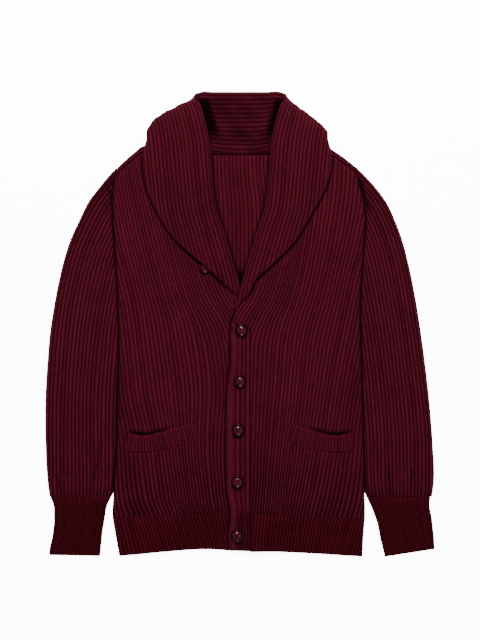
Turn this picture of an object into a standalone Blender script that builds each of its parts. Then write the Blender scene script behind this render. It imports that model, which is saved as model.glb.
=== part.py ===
"""Shawl collar cardigan in chunky rib knit, buttoned and laid flat on its back.

Each cut piece is its own closed wall: back, two fronts, two sleeves, cuffs, hem bands, front
bands, the shawl collar, two pocket welts and six buttons. Lengths are in millimetres until a
mesh is made. X runs across the body, H is the height above the lowest edge of the hem, and Z
is the height above the table. "Left" and "right" in piece names are the wearer's.
"""

import math

import bpy
import numpy as np

MM = 0.001
MIDDLE = (0.85, 407.45)  # X and height of the middle of the whole garment
WALL = 2.2  # knitted wall between ribs
RIB = 1.5  # how far a rib stands above it
GAP = 0.3  # seam gap between two pieces
SMOOTH_ANGLE = math.radians(28)

FRONT_LIFT = 3.6  # underside of a front, where it lies on the back
EDGE_LIFT = 2.6  # the same along its seams, where it meets the back
TOP_BAND_LIFT = 5.1  # underside of the button band that lies on the other one
EDGE_RUN = 14.0  # how far from a seam the front starts to dip

HEM_TOP = 70.0
CUFF_TOP = 106.0
SLEEVE_FOOT = 106.5
UNDERARM = 451.0
SHOULDER_TIP = 681.0
BREAK = 412.7  # top end of the upper button band, just above the first button
UNDER_BREAK = 435.4  # top end of the lower one
BAND_SEAM = 18.4  # X of the seam between the upper band and its front
SHOULDER_FOLD = 6.2  # the back wraps this far over the shoulder
SHOULDER_FOLD_HEIGHT = 6.2

FRONT_RIBS = 29
LEAN = 0.36  # how far a rib beside the armhole moves out for each step up
SWAY = 34.0  # how much further the ribs beside the lapel do, in all
CHEST = 428.0  # up to here the front's rows are level
HIGH_ROWS = np.array([0.15, 0.35, 0.55, 0.76, 0.93, 1.0])  # shares of what is above
HEM_RIBS = 34
SLEEVE_RIBS = 19
CUFF_RIBS = 18
BACK_RIB_PITCH = 6.8
BACK_RIB = 1.0
COLLAR_RIB_PITCH = 7.1
COLLAR_COLUMNS = 53
LONG_STEP = 29.0  # a longer step between two collar sections is halved
WELT_RIBS = 23

KNIT_COLOUR = (0.052, 0.0035, 0.0085, 1.0)
RIB_TRIM_COLOUR = (0.030, 0.0022, 0.0042, 1.0)
BUTTON_COLOUR = (0.040, 0.010, 0.010, 1.0)

# Side edges of the body, from the hem up: height, wearer's right edge, wearer's left edge.
SIDES = (
    (0, -210.0, 215.0),
    (40, -217.0, 217.0),
    (70, -222.0, 219.5),
    (110, -220.5, 219.0),
    (194, -214.5, 216.5),
    (275, -213.0, 214.5),
    (338, -211.0, 213.0),
    (451, -212.5, 211.0),
    (532, -217.0, 216.0),
    (590, -221.0, 219.5),
    (632, -220.5, 213.5),
    (681, -214.5, 205.5),
)

# Top edge of the back: X, height. It runs along one shoulder, round the neck and down the other.
BACK_TOP = (
    (-214.5, 680.5),
    (-197, 697.0),
    (-184, 708.0),
    (-172, 718.0),
    (-156.5, 723.0),
    (-125, 725.0),
    (-87, 729.5),
    (-72, 718.0),
    (-53.5, 712.6),
    (-28, 709.8),
    (31, 709.8),
    (57, 712.6),
    (75.5, 718.0),
    (90.5, 729.5),
    (127, 727.0),
    (158.5, 715.5),
    (184, 698.0),
    (205.5, 681.0),
)

# Lower edge of the hem: X, height.
HEM_FOOT = (
    (-211, 2.0),
    (-170, 5.5),
    (-139, 8.5),
    (-25, 12.0),
    (-13, 10.5),
    (70, 9.0),
    (141, 5.5),
    (215, 1.0),
)

# Free edge of the upper button band: height, X. The pieces that meet it share these heights.
BAND_EDGE = (
    (11, -16.0),
    (40.2, -20.0),
    (70.15, -16.0),
    (90, -17.5),
    (106, -21.5),
    (150, -23.0),
    (220, -24.0),
    (290, -22.5),
    (350, -15.5),
    (390, -16.0),
    (412.7, -14.5),
)

# Neck edge of each front, from the break up: height, wearer's right, wearer's left.
NECK_EDGE = (
    (413, -16.0, 19.1),
    (436, -17.3, 20.6),
    (457, -21.3, 23.6),
    (480, -24.4, 27.9),
    (516, -36.7, 40.2),
    (569, -54.2, 57.7),
    (625, -69.9, 73.4),
    (669, -80.8, 84.3),
    (700, -86.8, 90.3),
    (732, -86.5, 90.0),
)

# Outer edge of a sleeve, from the cuff up: height, wearer's right, wearer's left.
SLEEVE_EDGE = (
    (107, -332.5, 337.0),
    (131, -335.5, 340.0),
    (200, -339.3, 338.0),
    (285, -339.3, 331.0),
    (341, -336.0, 324.5),
    (397, -331.0, 317.0),
    (453, -322.0, 308.0),
    (509, -310.0, 296.7),
    (551, -297.5, 287.5),
    (593, -278.5, 274.0),
    (621, -264.5, 262.5),
    (649, -243.5, 240.0),
    (677, -219.0, 210.5),
    (681, -214.8, 205.8),
)

# The cuffs: height, inner and outer edge of the wearer's right cuff, then of the left one.
CUFF_SIDES = (
    (0, -244.0, -333.5, 254.0, 341.0),
    (19, -242.0, -331.5, 249.5, 341.0),
    (33, -240.5, -328.0, 246.0, 340.5),
    (47, -239.0, -326.0, 243.5, 339.0),
    (61, -236.5, -324.5, 240.5, 337.5),
    (75, -234.5, -324.5, 235.5, 335.5),
    (89, -232.0, -325.0, 230.0, 332.5),
    (106, -224.0, -331.0, 222.0, 334.0),
)

# Lower edge of the cuffs: share of the width from the inner edge, height right, height left.
CUFF_FOOT = (
    (0.0, 2.0, 0.5),
    (0.2, 7.0, 5.0),
    (0.5, 10.5, 9.0),
    (0.8, 8.0, 12.0),
    (1.0, 3.5, 14.0),
)

# A pocket welt: distance from the middle, height of its upper and of its lower edge.
WELT = (
    (197, 218.0, 186.0),
    (180, 213.5, 183.5),
    (157, 213.5, 184.5),
    (135, 219.0, 188.0),
    (110, 226.0, 195.0),
    (84, 234.0, 205.0),
)

# Sections of the collar on the wearer's left, from the centre back round to the lapel. Each point
# is (X, height, Z) on the face that shows: at the neck seam, where the stand tucks under, at the
# roll, where the fall turns and at its free edge. crown is the Z of the fall just past the roll.
# more is how much wider the fall is on the wearer's right.
COLLAR_CENTRE = 1.75
CROWN_RUN = 8.0
COLLAR = (
    # seam, tuck, roll, turn, edge, crown, more
    ((1.75, 710.5, 4.8), (1.75, 808, 5.4), (1.75, 814, 2.7), (1.75, 768, 0), (1.75, 728, 0), 0, 0),
    ((31, 710.5, 4.8), (44, 808, 5.4), (45, 814, 2.7), (43, 768, 0), (43, 728, 0), 0, 0),
    ((46.4, 711.6, 4.8), (68, 806, 5.6), (73, 813.4, 3), (78, 770, 0), (81, 734, 0), 0, 0),
    ((50, 712.2, 4.8), (73.5, 801.5, 6.4), (82.5, 808.5, 4.6), (86, 779, 0), (92, 738, 0), 0.8, 1),
    ((53, 713, 4.8), (76, 794, 8), (80, 799.5, 10.5), (94.5, 800.5, 4.5), (101, 740, 0), 9.5, 4),
    ((57, 714.2, 4.8), (77, 785, 9), (72.1, 792.8, 11), (103, 789.5, 5), (111, 741, 0.3), 15, 11),
    ((66, 717.5, 4.6), (75.5, 757, 10.5), (64.8, 770, 14), (130.5, 768.3, 6), (135.6, 739, 0.3), 20, 20),
    ((76.5, 724.8, 4.4), (78, 738, 11.5), (59.2, 747, 15), (153, 747, 7), (151.4, 733.5, 1), 21.5, 12.5),
    (
        (84, 731, 4.3), (81.5, 721.5, 10.5), (55.1, 724.5, 14.5),
        (153, 724.5, 12), (158.4, 719.5, 9.2), 21.5, 11.5,
    ),
    (
        (88.4, 700, 4.2), (79.6, 695, 7), (52.2, 696.5, 13.5),
        (149.6, 693, 13.5), (161.5, 691.3, 10.4), 20.5, 11.5,
    ),
    ((83.1, 668.5, 4.2), (67.4, 664, 5), (48.7, 658, 12), (141, 649.3, 13), (151.9, 647.5, 10.4), 19, 15),
    (
        (72.6, 624.8, 4.2), (55, 619.5, 4.4), (44.1, 614.3, 9.5),
        (119.9, 603.8, 12.2), (127.8, 602, 10.4), 16.5, 20,
    ),
    (
        (56.9, 568.8, 4.2), (41, 569.5, 4.4), (30.1, 570.5, 8.6),
        (88, 556.5, 11.8), (98, 553, 10.4), 14.5, 17,
    ),
)

# The lapel ends, where the collar runs into the button bands: the same columns, without more.
RIGHT_LAPEL = (
    ((-36, 516.3, 4.2), (-25.5, 522, 4.4), (-13.5, 525, 8.2), (-54, 511, 15.4), (-60.3, 508.5, 15.2), 14),
    (
        (-23.6, 479.5, 3.8), (-11.4, 483, 3.7), (-1.4, 484.8, 6.3),
        (-25.5, 482.1, 10.4), (-33.5, 482.1, 10.2), 10.6,
    ),
    ((-20.5, 456.8, 3), (-9.6, 460.3, 2.9), (2.4, 464.6, 5.5), (-6.1, 463.8, 8.6), (-11, 462.9, 8.5), 8.6),
    ((-16.4, 435.8, 2.8), (-4.4, 436.6, 2.8), (9.2, 438.4, 5.2), (7, 439.3, 8.2), (4.8, 440.1, 8.2), 8.2),
)
LEFT_LAPEL = (
    ((39.4, 516.3, 4.3), (27.5, 522, 4.8), (16.6, 525, 9), (47, 512.8, 12.6), (55, 508.4, 11.2), 14),
    ((26.5, 479.5, 4.8), (17, 481.3, 7), (4.6, 483.9, 11.2), (20, 483, 15.4), (28, 482.1, 13.5), 16),
    (
        (22.0, 456.8, 5.4), (14, 460.3, 10.2), (0.2, 463.8, 13.2),
        (13.1, 463.8, 16.6), (22.4, 462.9, 15.6), 16.6,
    ),
    ((19.0, 435.8, 5.3), (15, 436.6, 9.8), (-5.3, 437.5, 12.8), (1.8, 440.1, 16), (6.1, 442.8, 15.2), 16),
    (
        (18.4, 413.2, 5.1), (6.1, 413.2, 5.4), (-13.1, 413.9, 8),
        (-10.9, 414.8, 10.8), (-9.3, 415.6, 10.8), 10.8,
    ),
)

BUTTON_SIDES = 12
# Half section of a button from its back to its middle: radius, height.
BUTTON_PROFILE = (
    (7.5, 0.0),
    (10.3, 1.0),
    (11.0, 2.6),
    (10.2, 4.1),
    (8.6, 4.4),
    (6.0, 2.9),
)
# Buttons on the upper band, from the top: X, height.
BAND_BUTTONS = ((3.5, 397.0), (1.2, 307.5), (-2.3, 222.5), (-3.3, 132.0), (-4.4, 38.0))
# The spare one on the wearer's right front, half under the lapel.
LAPEL_BUTTON = (-60.5, 505.0)
LAPEL_BUTTON_SIZE = 0.8


def column(table, index):
    """One named column of a table, as an array."""
    return np.array([row[index] for row in table], float)


def line(table, at, value, key=0):
    """Straight interpolation of one column of a table over its key column."""
    return np.interp(at, column(table, key), column(table, value))


def smooth(low, high, x):
    """0 below low, 1 above high, with a soft start and end between."""
    t = np.clip((x - low) / (high - low), 0.0, 1.0)
    return t * t * (3.0 - 2.0 * t)


def rib_wave(count):
    """Alternate valley and crest, beginning and ending in a valley."""
    return (np.arange(count) % 2).astype(float)


def strip_between(first, second, first_at, second_at, flip):
    """Triangles that join two rows of points, each taking the next step that comes first."""
    faces = []
    i = j = 0
    while i < len(first) - 1 or j < len(second) - 1:
        step_first = j == len(second) - 1
        if i < len(first) - 1 and j < len(second) - 1:
            step_first = first_at[i + 1] + first_at[i] <= second_at[j + 1] + second_at[j]
        if step_first:
            face = (first[i + 1], first[i], second[j])
            i += 1
        else:
            face = (second[j], second[j + 1], first[i])
            j += 1
        faces.append(face[::-1] if flip else face)
    return faces


def grid_quads(index, flip):
    """Four-sided faces of a grid of point numbers."""
    a, b = index[:-1, :-1], index[:-1, 1:]
    c, d = index[1:, 1:], index[1:, :-1]
    order = (a, d, c, b) if flip else (a, b, c, d)
    return np.stack(order, axis=-1).reshape(-1, 4).tolist()


def wall_mesh(outer, inner, outer_at, inner_at, closed=False):
    """Points and faces of a wall between an outer and an inner grid with the same rows.

    The columns of each grid stand at their shares outer_at and inner_at of the way across. A
    closed wall runs round a tube, and its last column is followed by its first.
    """
    rows = outer.shape[0]
    outer_index = np.arange(rows * outer.shape[1]).reshape(rows, -1)
    inner_index = np.arange(rows * inner.shape[1]).reshape(rows, -1) + outer_index.size
    if closed:
        outer_index = np.hstack([outer_index, outer_index[:, :1]])
        inner_index = np.hstack([inner_index, inner_index[:, :1]])
        outer_at = np.append(outer_at, 1.0)
        inner_at = np.append(inner_at, 1.0)
    faces = grid_quads(outer_index, False) + grid_quads(inner_index, True)
    for row, flip in ((0, False), (-1, True)):
        faces += strip_between(outer_index[row], inner_index[row], outer_at, inner_at, flip)
    if not closed:
        for i in range(rows - 1):
            faces.append(
                (outer_index[i, 0], outer_index[i + 1, 0], inner_index[i + 1, 0], inner_index[i, 0])
            )
            faces.append(
                (outer_index[i + 1, -1], outer_index[i, -1], inner_index[i, -1], inner_index[i + 1, -1])
            )
    points = np.vstack([outer.reshape(-1, 3), inner.reshape(-1, 3)])
    return points, faces


def enclosed_volume(points, faces):
    """Signed volume inside the faces, positive when they look outwards."""
    total = 0.0
    for face in faces:
        for k in range(1, len(face) - 1):
            corners = points[[face[0], face[k], face[k + 1]]]
            total += np.linalg.det(corners)
    return total / 6.0


def make_material(name, colour, roughness):
    material = bpy.data.materials.new(name)
    material.use_nodes = True
    shader = material.node_tree.nodes["Principled BSDF"]
    shader.inputs["Base Color"].default_value = colour
    shader.inputs["Roughness"].default_value = roughness
    shader.inputs["Metallic"].default_value = 0.0
    material.diffuse_color = colour
    return material


def add_solid(name, mesh_data, material):
    """An object from points in millimetres (X, height, Z) and faces, turned to face outwards."""
    points, faces = mesh_data
    faces = [tuple(int(i) for i in face) for face in faces]
    if enclosed_volume(points, faces) < 0:
        faces = [face[::-1] for face in faces]
    placed = points - np.array([MIDDLE[0], MIDDLE[1], 0.0])
    mesh = bpy.data.meshes.new(name)
    mesh.from_pydata((placed * MM).tolist(), [], faces)
    mesh.shade_smooth()
    mesh.set_sharp_from_angle(angle=SMOOTH_ANGLE)
    mesh.materials.append(material)
    solid = bpy.data.objects.new(name, mesh)
    bpy.context.scene.collection.objects.link(solid)
    return solid


# ---------------------------------------------------------------- body panels


def side_edge(height, side):
    """X of the body's side edge; side is -1 for the wearer's right and 1 for the left."""
    return line(SIDES, height, 1 if side < 0 else 2)


def front_centre_edge(height, side):
    """X of a front's inner edge: along its button band, then up the neck edge."""
    neck = line(NECK_EDGE, height, 1 if side < 0 else 2)
    if side < 0:
        band = line(BAND_EDGE, height, 1) - 1.0
    else:
        band = np.full_like(np.asarray(height, float), BAND_SEAM + 0.7)
    return np.where(np.asarray(height) < BREAK, band, neck)


def front_x(share, height, side):
    """X of the rib line that stands at this share of the way from the side to the centre.

    Below the underarm the ribs are spread between both edges. Above it they lean out, so the
    outer ones end on the armhole and the inner ones pass under the collar.
    """
    over = np.maximum(height - UNDERARM, 0.0)
    lean = LEAN * over * smooth(UNDERARM - 40.0, UNDERARM + 70.0, height)
    outer = side_edge(np.minimum(height, UNDERARM), side) + side * lean
    straight = outer + share * (front_centre_edge(height, side) - outer)
    sway = SWAY * smooth(380.0, 560.0, height) * 2.1 * share**2 * (1.0 - share**6)
    return straight + side * sway


def front_top(share, side):
    """Height at which a rib line leaves the front, at the armhole, the shoulder or the neck."""
    heights = np.linspace(UNDERARM, 760.0, 1200)
    x = front_x(share, heights, side)
    past_side = side * x > side * side_edge(heights, side) + 0.01
    shoulder = line(BACK_TOP, x, 1) - SHOULDER_FOLD - 1.2
    past = past_side | (heights > shoulder) | (heights > 732.0)
    return heights[np.argmax(past)]


def front_grid(shares, side):
    """X and height of the front on its rows and on these rib lines."""
    low = np.append(column(BAND_EDGE, 0)[2:-1], CHEST)
    low[0] = HEM_TOP + GAP
    heights = []
    for share in shares:
        top = front_top(share, side)
        heights.append(np.concatenate([low, CHEST + HIGH_ROWS * (top - CHEST)]))
    heights = np.array(heights).T
    x = np.array([[front_x(s, h, side) for s, h in zip(shares, row)] for row in heights])
    return x, heights


def front_lift(x, height, side):
    """Z of a front's underside: it dips to the back along its seams and rises to the upper band."""
    to_side = side * (side_edge(height, side) - x)
    shoulder = line(BACK_TOP, x, 1) - SHOULDER_FOLD
    to_centre = side * (x - front_centre_edge(height, side))
    lift = EDGE_LIFT + (FRONT_LIFT - EDGE_LIFT) * smooth(0, EDGE_RUN, to_side) * smooth(
        0, EDGE_RUN, shoulder - height
    )
    near_centre = 1.0 - smooth(0, 2.5 * EDGE_RUN, to_centre)
    below_break = 1.0 - smooth(BREAK + 60, BREAK + 140, height)
    target = EDGE_LIFT if side < 0 else TOP_BAND_LIFT
    return lift + (target - lift) * near_centre * below_break


def panel(x, height, lift, ribs, x_in, height_in, lift_in, outer_at, inner_at):
    """A wall that lies on the table: ribs on top, plain beneath."""
    outer = np.stack([x, height, lift + WALL + RIB * ribs], axis=-1)
    inner = np.stack([x_in, height_in, lift_in], axis=-1)
    return wall_mesh(outer, inner, outer_at, inner_at)


def make_front(name, side, material):
    shares = np.linspace(0, 1, 2 * FRONT_RIBS + 1)
    coarse = np.linspace(0, 1, 9)
    x, height = front_grid(shares, side)
    x_in, height_in = front_grid(coarse, side)
    fade = smooth(0, 4, side * (side_edge(height, side) - x))
    ribs = rib_wave(len(shares)) * (0.35 + 0.65 * fade)
    data = panel(
        x,
        height,
        front_lift(x, height, side),
        ribs,
        x_in,
        height_in,
        front_lift(x_in, height_in, side),
        shares,
        coarse,
    )
    return add_solid(name, data, material)


def make_front_hem(name, side, material):
    """The ribbed band below a front, ending at the button band."""
    shares = np.linspace(0, 1, 2 * HEM_RIBS + 1)
    coarse = np.linspace(0, 1, 7)
    steps = np.array([0.0, 0.5, 1.0])

    def spots(at):
        edge = np.broadcast_to(line(SIDES, 5.0, 1 if side < 0 else 2), at.shape)
        x_foot = edge + at * (front_centre_edge(np.full_like(at, 12.0), side) - edge)
        foot = line(HEM_FOOT, x_foot, 1)
        height = foot + steps[:, None] * (HEM_TOP - foot)
        start = side_edge(height, side)
        x = start + at * (front_centre_edge(height, side) - start)
        return x, height

    x, height = spots(shares)
    x_in, height_in = spots(coarse)
    ribs = 0.8 * np.tile(rib_wave(len(shares)), (3, 1))
    data = panel(
        x,
        height,
        front_lift(x, height, side),
        ribs,
        x_in,
        height_in,
        front_lift(x_in, height_in, side),
        shares,
        coarse,
    )
    return add_solid(name, data, material)


def back_x(share, height):
    left, right = side_edge(height, -1), side_edge(height, 1)
    return left + share * (right - left)


def make_back(material):
    """Flat beneath. On top its ribs stand where the neck opening shows them, and its shoulder
    edges are folded over to the front."""
    half = BACK_RIB_PITCH / 2
    middle = COLLAR_CENTRE + np.arange(-14, 15) * half
    knots = column(BACK_TOP, 0)
    tip = np.concatenate([knots[knots < middle[0] - 1], middle, knots[knots > middle[-1] + 1]])
    at = (tip - tip[0]) / (tip[-1] - tip[0])
    top = line(BACK_TOP, tip, 1)
    foot = HEM_TOP + GAP
    rows = [np.full_like(top, h) for h in (foot, 194.0, 338.0, UNDERARM, 530.0, 632.0)]
    rows += [top - SHOULDER_FOLD - 0.5, top - SHOULDER_FOLD, top - 2.5, top]
    height = np.array(rows)
    x = back_x(at, height)
    inset = np.minimum(x - line(NECK_EDGE, height, 1), line(NECK_EDGE, height, 2) - x)
    ribbed = np.where(np.isin(tip, middle[1::2]), 1.0, 0.0)
    ribs = ribbed * smooth(480, 528, height) * smooth(3, 6, inset) * (height < top - 1)
    outer_z = WALL + BACK_RIB * ribs
    folded = smooth(92, 100, np.abs(tip - COLLAR_CENTRE))
    rise = np.array([SHOULDER_FOLD_HEIGHT, SHOULDER_FOLD_HEIGHT, SHOULDER_FOLD_HEIGHT - 1.4])
    outer_z[-3:] += (rise - WALL)[:, None] * folded
    outer = np.stack([x, height, outer_z], axis=-1)
    coarse = np.union1d(np.flatnonzero(~np.isin(tip, middle)), np.arange(len(tip))[::8])
    coarse = np.union1d(coarse, [0, len(tip) - 1])
    inner = np.stack([x, height, np.zeros_like(x)], axis=-1)[:, coarse]
    return add_solid("back", wall_mesh(outer, inner, at, at[coarse]), material)


def make_back_hem(material):
    at = np.linspace(0, 1, 9)
    x_foot = back_x(at, 5.0)
    foot = line(HEM_FOOT, x_foot, 1) + 1.0
    height = foot + np.array([0.0, 0.5, 1.0])[:, None] * (HEM_TOP - foot)
    x = back_x(at, height)
    outer = np.stack([x, height, np.full_like(x, WALL)], axis=-1)
    inner = np.stack([x, height, np.zeros_like(x)], axis=-1)
    return add_solid("hem_back", wall_mesh(outer, inner, at, at), material)


# -------------------------------------------------------------------- sleeves

TUBE_TOP = 5.4  # upper face of a flattened tube, between its ribs
TUBE_EDGE = 2.7  # Z of its folded edges
TUBE_FLOOR = np.array([0.975, 0.79, 0.6, 0.35, 0.025])


def tube_mesh(place, ribs):
    """A flattened tube. place(share) gives X and height across its width for every row."""
    across = np.linspace(0, 1, 2 * ribs + 1)
    x, height = place(across)
    wave = rib_wave(len(across))
    z = TUBE_TOP + RIB * wave
    z[0] = z[-1] = TUBE_EDGE
    top = np.stack([x, height, np.broadcast_to(z, x.shape)], axis=-1)
    x, height = place(TUBE_FLOOR)
    floor = np.stack([x, height, np.zeros_like(x)], axis=-1)
    outer = np.concatenate([top, floor], axis=1)
    outer_at = np.concatenate([across / 2, 1 - TUBE_FLOOR / 2])
    inset = np.array([0.035, 0.08, 0.35, 0.6, 0.79, 0.92, 0.965])
    x, height = place(inset)
    lining_z = np.array([2.7, 3.2, 3.2, 3.2, 3.2, 3.2, 2.7])
    upper = np.stack([x, height, np.broadcast_to(lining_z, x.shape)], axis=-1)
    back = inset[1:-1][::-1]
    x, height = place(back)
    lower = np.stack([x, height, np.full_like(x, WALL)], axis=-1)
    inner = np.concatenate([upper, lower], axis=1)
    inner_at = np.concatenate([inset / 2, 1 - back / 2])
    return wall_mesh(outer, inner, outer_at, inner_at, closed=True)


def make_sleeve(name, side, material):
    """Its inner edge lies along the body and its outer ribs run up to the armhole seam."""
    steps = np.array([0.0, 0.05, 0.2, 0.38, 0.55, 0.7, 0.84, 0.94, 1.0])
    clear = 0.7

    def place(share):
        inner_h = SLEEVE_FOOT + steps * (UNDERARM - SLEEVE_FOOT)
        outer_h = SLEEVE_FOOT + steps * (SHOULDER_TIP - 1.0 - SLEEVE_FOOT)
        inner_x = side_edge(inner_h, side) + side * clear
        outer_x = line(SLEEVE_EDGE, outer_h, 1 if side < 0 else 2)
        inner_x[0] += side * 4.0
        height = inner_h[:, None] + share * (outer_h - inner_h)[:, None]
        x = inner_x[:, None] + share * (outer_x - inner_x)[:, None]
        chord = x[-1]
        seam = side_edge(height[-1], side) + side * clear
        bow = (seam - chord) * (1 - smooth(0.97, 1.0, share))
        pull = smooth(0.55, 1.0, steps) ** 1.5
        return x + pull[:, None] * bow, height

    return add_solid(name, tube_mesh(place, SLEEVE_RIBS), material)


def make_cuff(name, side, material):
    steps = np.array([0.0, 0.33, 0.8, 1.0])
    inner_column, outer_column = (1, 2) if side < 0 else (3, 4)

    def place(share):
        foot = line(CUFF_FOOT, share, 1 if side < 0 else 2)
        height = foot + steps[:, None] * (CUFF_TOP - foot)
        inner_x = line(CUFF_SIDES, height, inner_column)
        outer_x = line(CUFF_SIDES, height, outer_column)
        return inner_x + share * (outer_x - inner_x), height

    return add_solid(name, tube_mesh(place, CUFF_RIBS), material)


# --------------------------------------------------------------- button bands


def make_upper_band(material):
    """Rounded free edge, then three ribs, from the hem to the break of the collar."""
    height = column(BAND_EDGE, 0)
    # across from the free edge, rise above the plain wall
    profile = np.array(
        [(0, -1.2), (2, 0.9), (6, 1.5), (10, 0.9), (13, 0), (16.5, 1.5), (20, 0), (23.5, 1.5)]
        + [(27, 0), (30.5, 1.5), (34, 0)]
    )
    share = profile[:, 0] / profile[-1, 0]
    edge = line(BAND_EDGE, height, 1)
    x = edge[:, None] + share * (BAND_SEAM - edge)[:, None]
    rows = np.repeat(height[:, None], len(share), axis=1)
    rise = np.broadcast_to(profile[:, 1], x.shape)
    outer = np.stack([x, rows, TOP_BAND_LIFT + WALL + rise], axis=-1)
    inner_share = np.array([0.0, 0.33, 0.66, 1.0])
    x_in = edge[:, None] + inner_share * (BAND_SEAM - edge)[:, None]
    rows_in = np.repeat(height[:, None], 4, axis=1)
    inner = np.stack([x_in, rows_in, np.full_like(x_in, TOP_BAND_LIFT)], axis=-1)
    return add_solid("band_left", wall_mesh(outer, inner, share, inner_share), material)


def make_under_band(material):
    """The plain-lying band beneath, sewn to the wearer's right front."""
    height = np.concatenate([column(BAND_EDGE, 0)[:-1], [CHEST, UNDER_BREAK]])
    start = front_centre_edge(height, -1) + 0.4
    end = np.interp(height, [380, 435], [18.0, 9.2])
    share = np.linspace(0, 1, 4)
    x = start[:, None] + share * (end - start)[:, None]
    rows = np.repeat(height[:, None], 4, axis=1)
    outer = np.stack([x, rows, np.full_like(x, EDGE_LIFT + WALL)], axis=-1)
    inner = np.stack([x, rows, np.full_like(x, EDGE_LIFT)], axis=-1)
    return add_solid("band_right", wall_mesh(outer, inner, share, share), material)


# --------------------------------------------------------------------- collar


def collar_sections():
    """Control points of every section, from the wearer's right lapel end to the left one.

    Each is seam, tuck, roll, crown, turn, edge. The wearer's right half mirrors the left and its
    fall is wider by the column more.
    """

    def with_crown(seam, tuck, roll, turn, edge, crown_z):
        roll, turn = np.array(roll, float), np.array(turn, float)
        way = (turn - roll)[:2]
        reach = np.hypot(*way)
        run = min(CROWN_RUN, 0.4 * reach)
        crown = np.append(roll[:2] + way * run / reach, crown_z)
        return np.array([seam, tuck, roll, crown, turn, edge], float)

    def mirrored(row):
        points = [np.array(p, float) for p in row[:5]]
        for point in points:
            point[0] = 2 * COLLAR_CENTRE - point[0]
        points[3][0] -= row[6]
        points[4][0] -= row[6]
        return with_crown(*points, row[5])

    right = [with_crown(*row) for row in RIGHT_LAPEL[::-1]]
    right += [mirrored(row) for row in COLLAR[:0:-1]]
    left = [with_crown(*row[:6]) for row in COLLAR]
    left += [with_crown(*row) for row in LEFT_LAPEL]
    return halved(np.array(right + left))


def halved(sections):
    """The sections with one more between two far apart, on a smooth curve through four of them."""
    out = [sections[0]]
    for i in range(1, len(sections)):
        before, first, second = sections[max(i - 2, 0)], sections[i - 1], sections[i]
        after = sections[min(i + 1, len(sections) - 1)]
        step = np.linalg.norm(second[4] - first[4])
        off_centre = abs(second[2, 0] - COLLAR_CENTRE) > 1.0
        if LONG_STEP < step and off_centre and first[3, 2] > 1.0 < second[3, 2]:
            out.append((9 * (first + second) - before - after) / 16)
        out.append(second)
    return np.array(out)


def curve_through(points, per_span=12):
    """A centripetal Catmull-Rom curve through the points of one section."""
    ends = np.vstack([2 * points[0] - points[1], points, 2 * points[-1] - points[-2]])
    out = []
    for i in range(1, len(ends) - 2):
        quad = ends[i - 1 : i + 3]
        gaps = np.sqrt(np.linalg.norm(np.diff(quad, axis=0), axis=1))
        knots = np.concatenate([[0], np.cumsum(gaps)])
        t = np.linspace(knots[1], knots[2], per_span, endpoint=False)[:, None]

        def between(p, q, low, high):
            share = (t - knots[low]) / (knots[high] - knots[low])
            return (1 - share) * p + share * q

        a1, a2, a3 = (between(quad[k], quad[k + 1], k, k + 1) for k in range(3))
        out.append(between(between(a1, a2, 0, 2), between(a2, a3, 1, 3), 1, 2))
    out.append(points[-1:])
    return np.vstack(out)


def collar_columns(section, count):
    """Points of one section at half-rib steps from its free edge.

    The steps are true across the fall. Past the roll they share out what the stand leaves, so a
    narrow stand holds the same number of them.
    """
    curve = curve_through(section)[::-1]
    run = np.concatenate([[0], np.cumsum(np.linalg.norm(np.diff(curve, axis=0), axis=1))])
    fall = run[np.argmin(np.linalg.norm(curve - section[2], axis=1))]
    natural = np.arange(count) * COLLAR_RIB_PITCH / 2
    squeeze = min((run[-1] - fall) / (natural[-1] - fall), 1.2)
    steps = np.where(natural <= fall, natural, fall + (natural - fall) * squeeze)
    steps[-1] = run[-1]
    points = np.stack([np.interp(steps, run, curve[:, k]) for k in range(3)], axis=-1)
    room = np.where(natural <= fall, 1.0, squeeze)
    return points, room


def grid_normals(grid):
    """Unit normals of a grid of points, from its neighbours along and across."""
    along = np.gradient(grid, axis=0)
    across = np.gradient(grid, axis=1)
    normal = np.cross(across, along)
    return normal / np.linalg.norm(normal, axis=-1, keepdims=True)


def make_collar(material):
    """One strip from lapel end to lapel end: a stand, a roll and a fall, ribbed where it looks up."""
    sections = collar_sections()
    count = COLLAR_COLUMNS
    columns = [collar_columns(section, count) for section in sections]
    face = np.array([points for points, _ in columns])
    room = np.array([room for _, room in columns])
    normal = grid_normals(face)
    looks_up = smooth(-0.1, 0.25, normal[..., 2])
    rib = rib_wave(count) * np.clip(room, 0, 1) ** 2 * looks_up
    outer = face + normal * (RIB * rib)[..., None]
    outer[..., 2] = np.maximum(outer[..., 2], 0.0)
    pick = np.unique(np.append(np.arange(0, count, 5), count - 1))
    inner = (face - normal * WALL)[:, pick]
    inner[..., 2] = np.maximum(inner[..., 2], 0.0)
    at = np.linspace(0, 1, count)
    return add_solid("shawl_collar", wall_mesh(outer, inner, at, at[pick]), material)


# ------------------------------------------------------------ pockets, buttons


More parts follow.
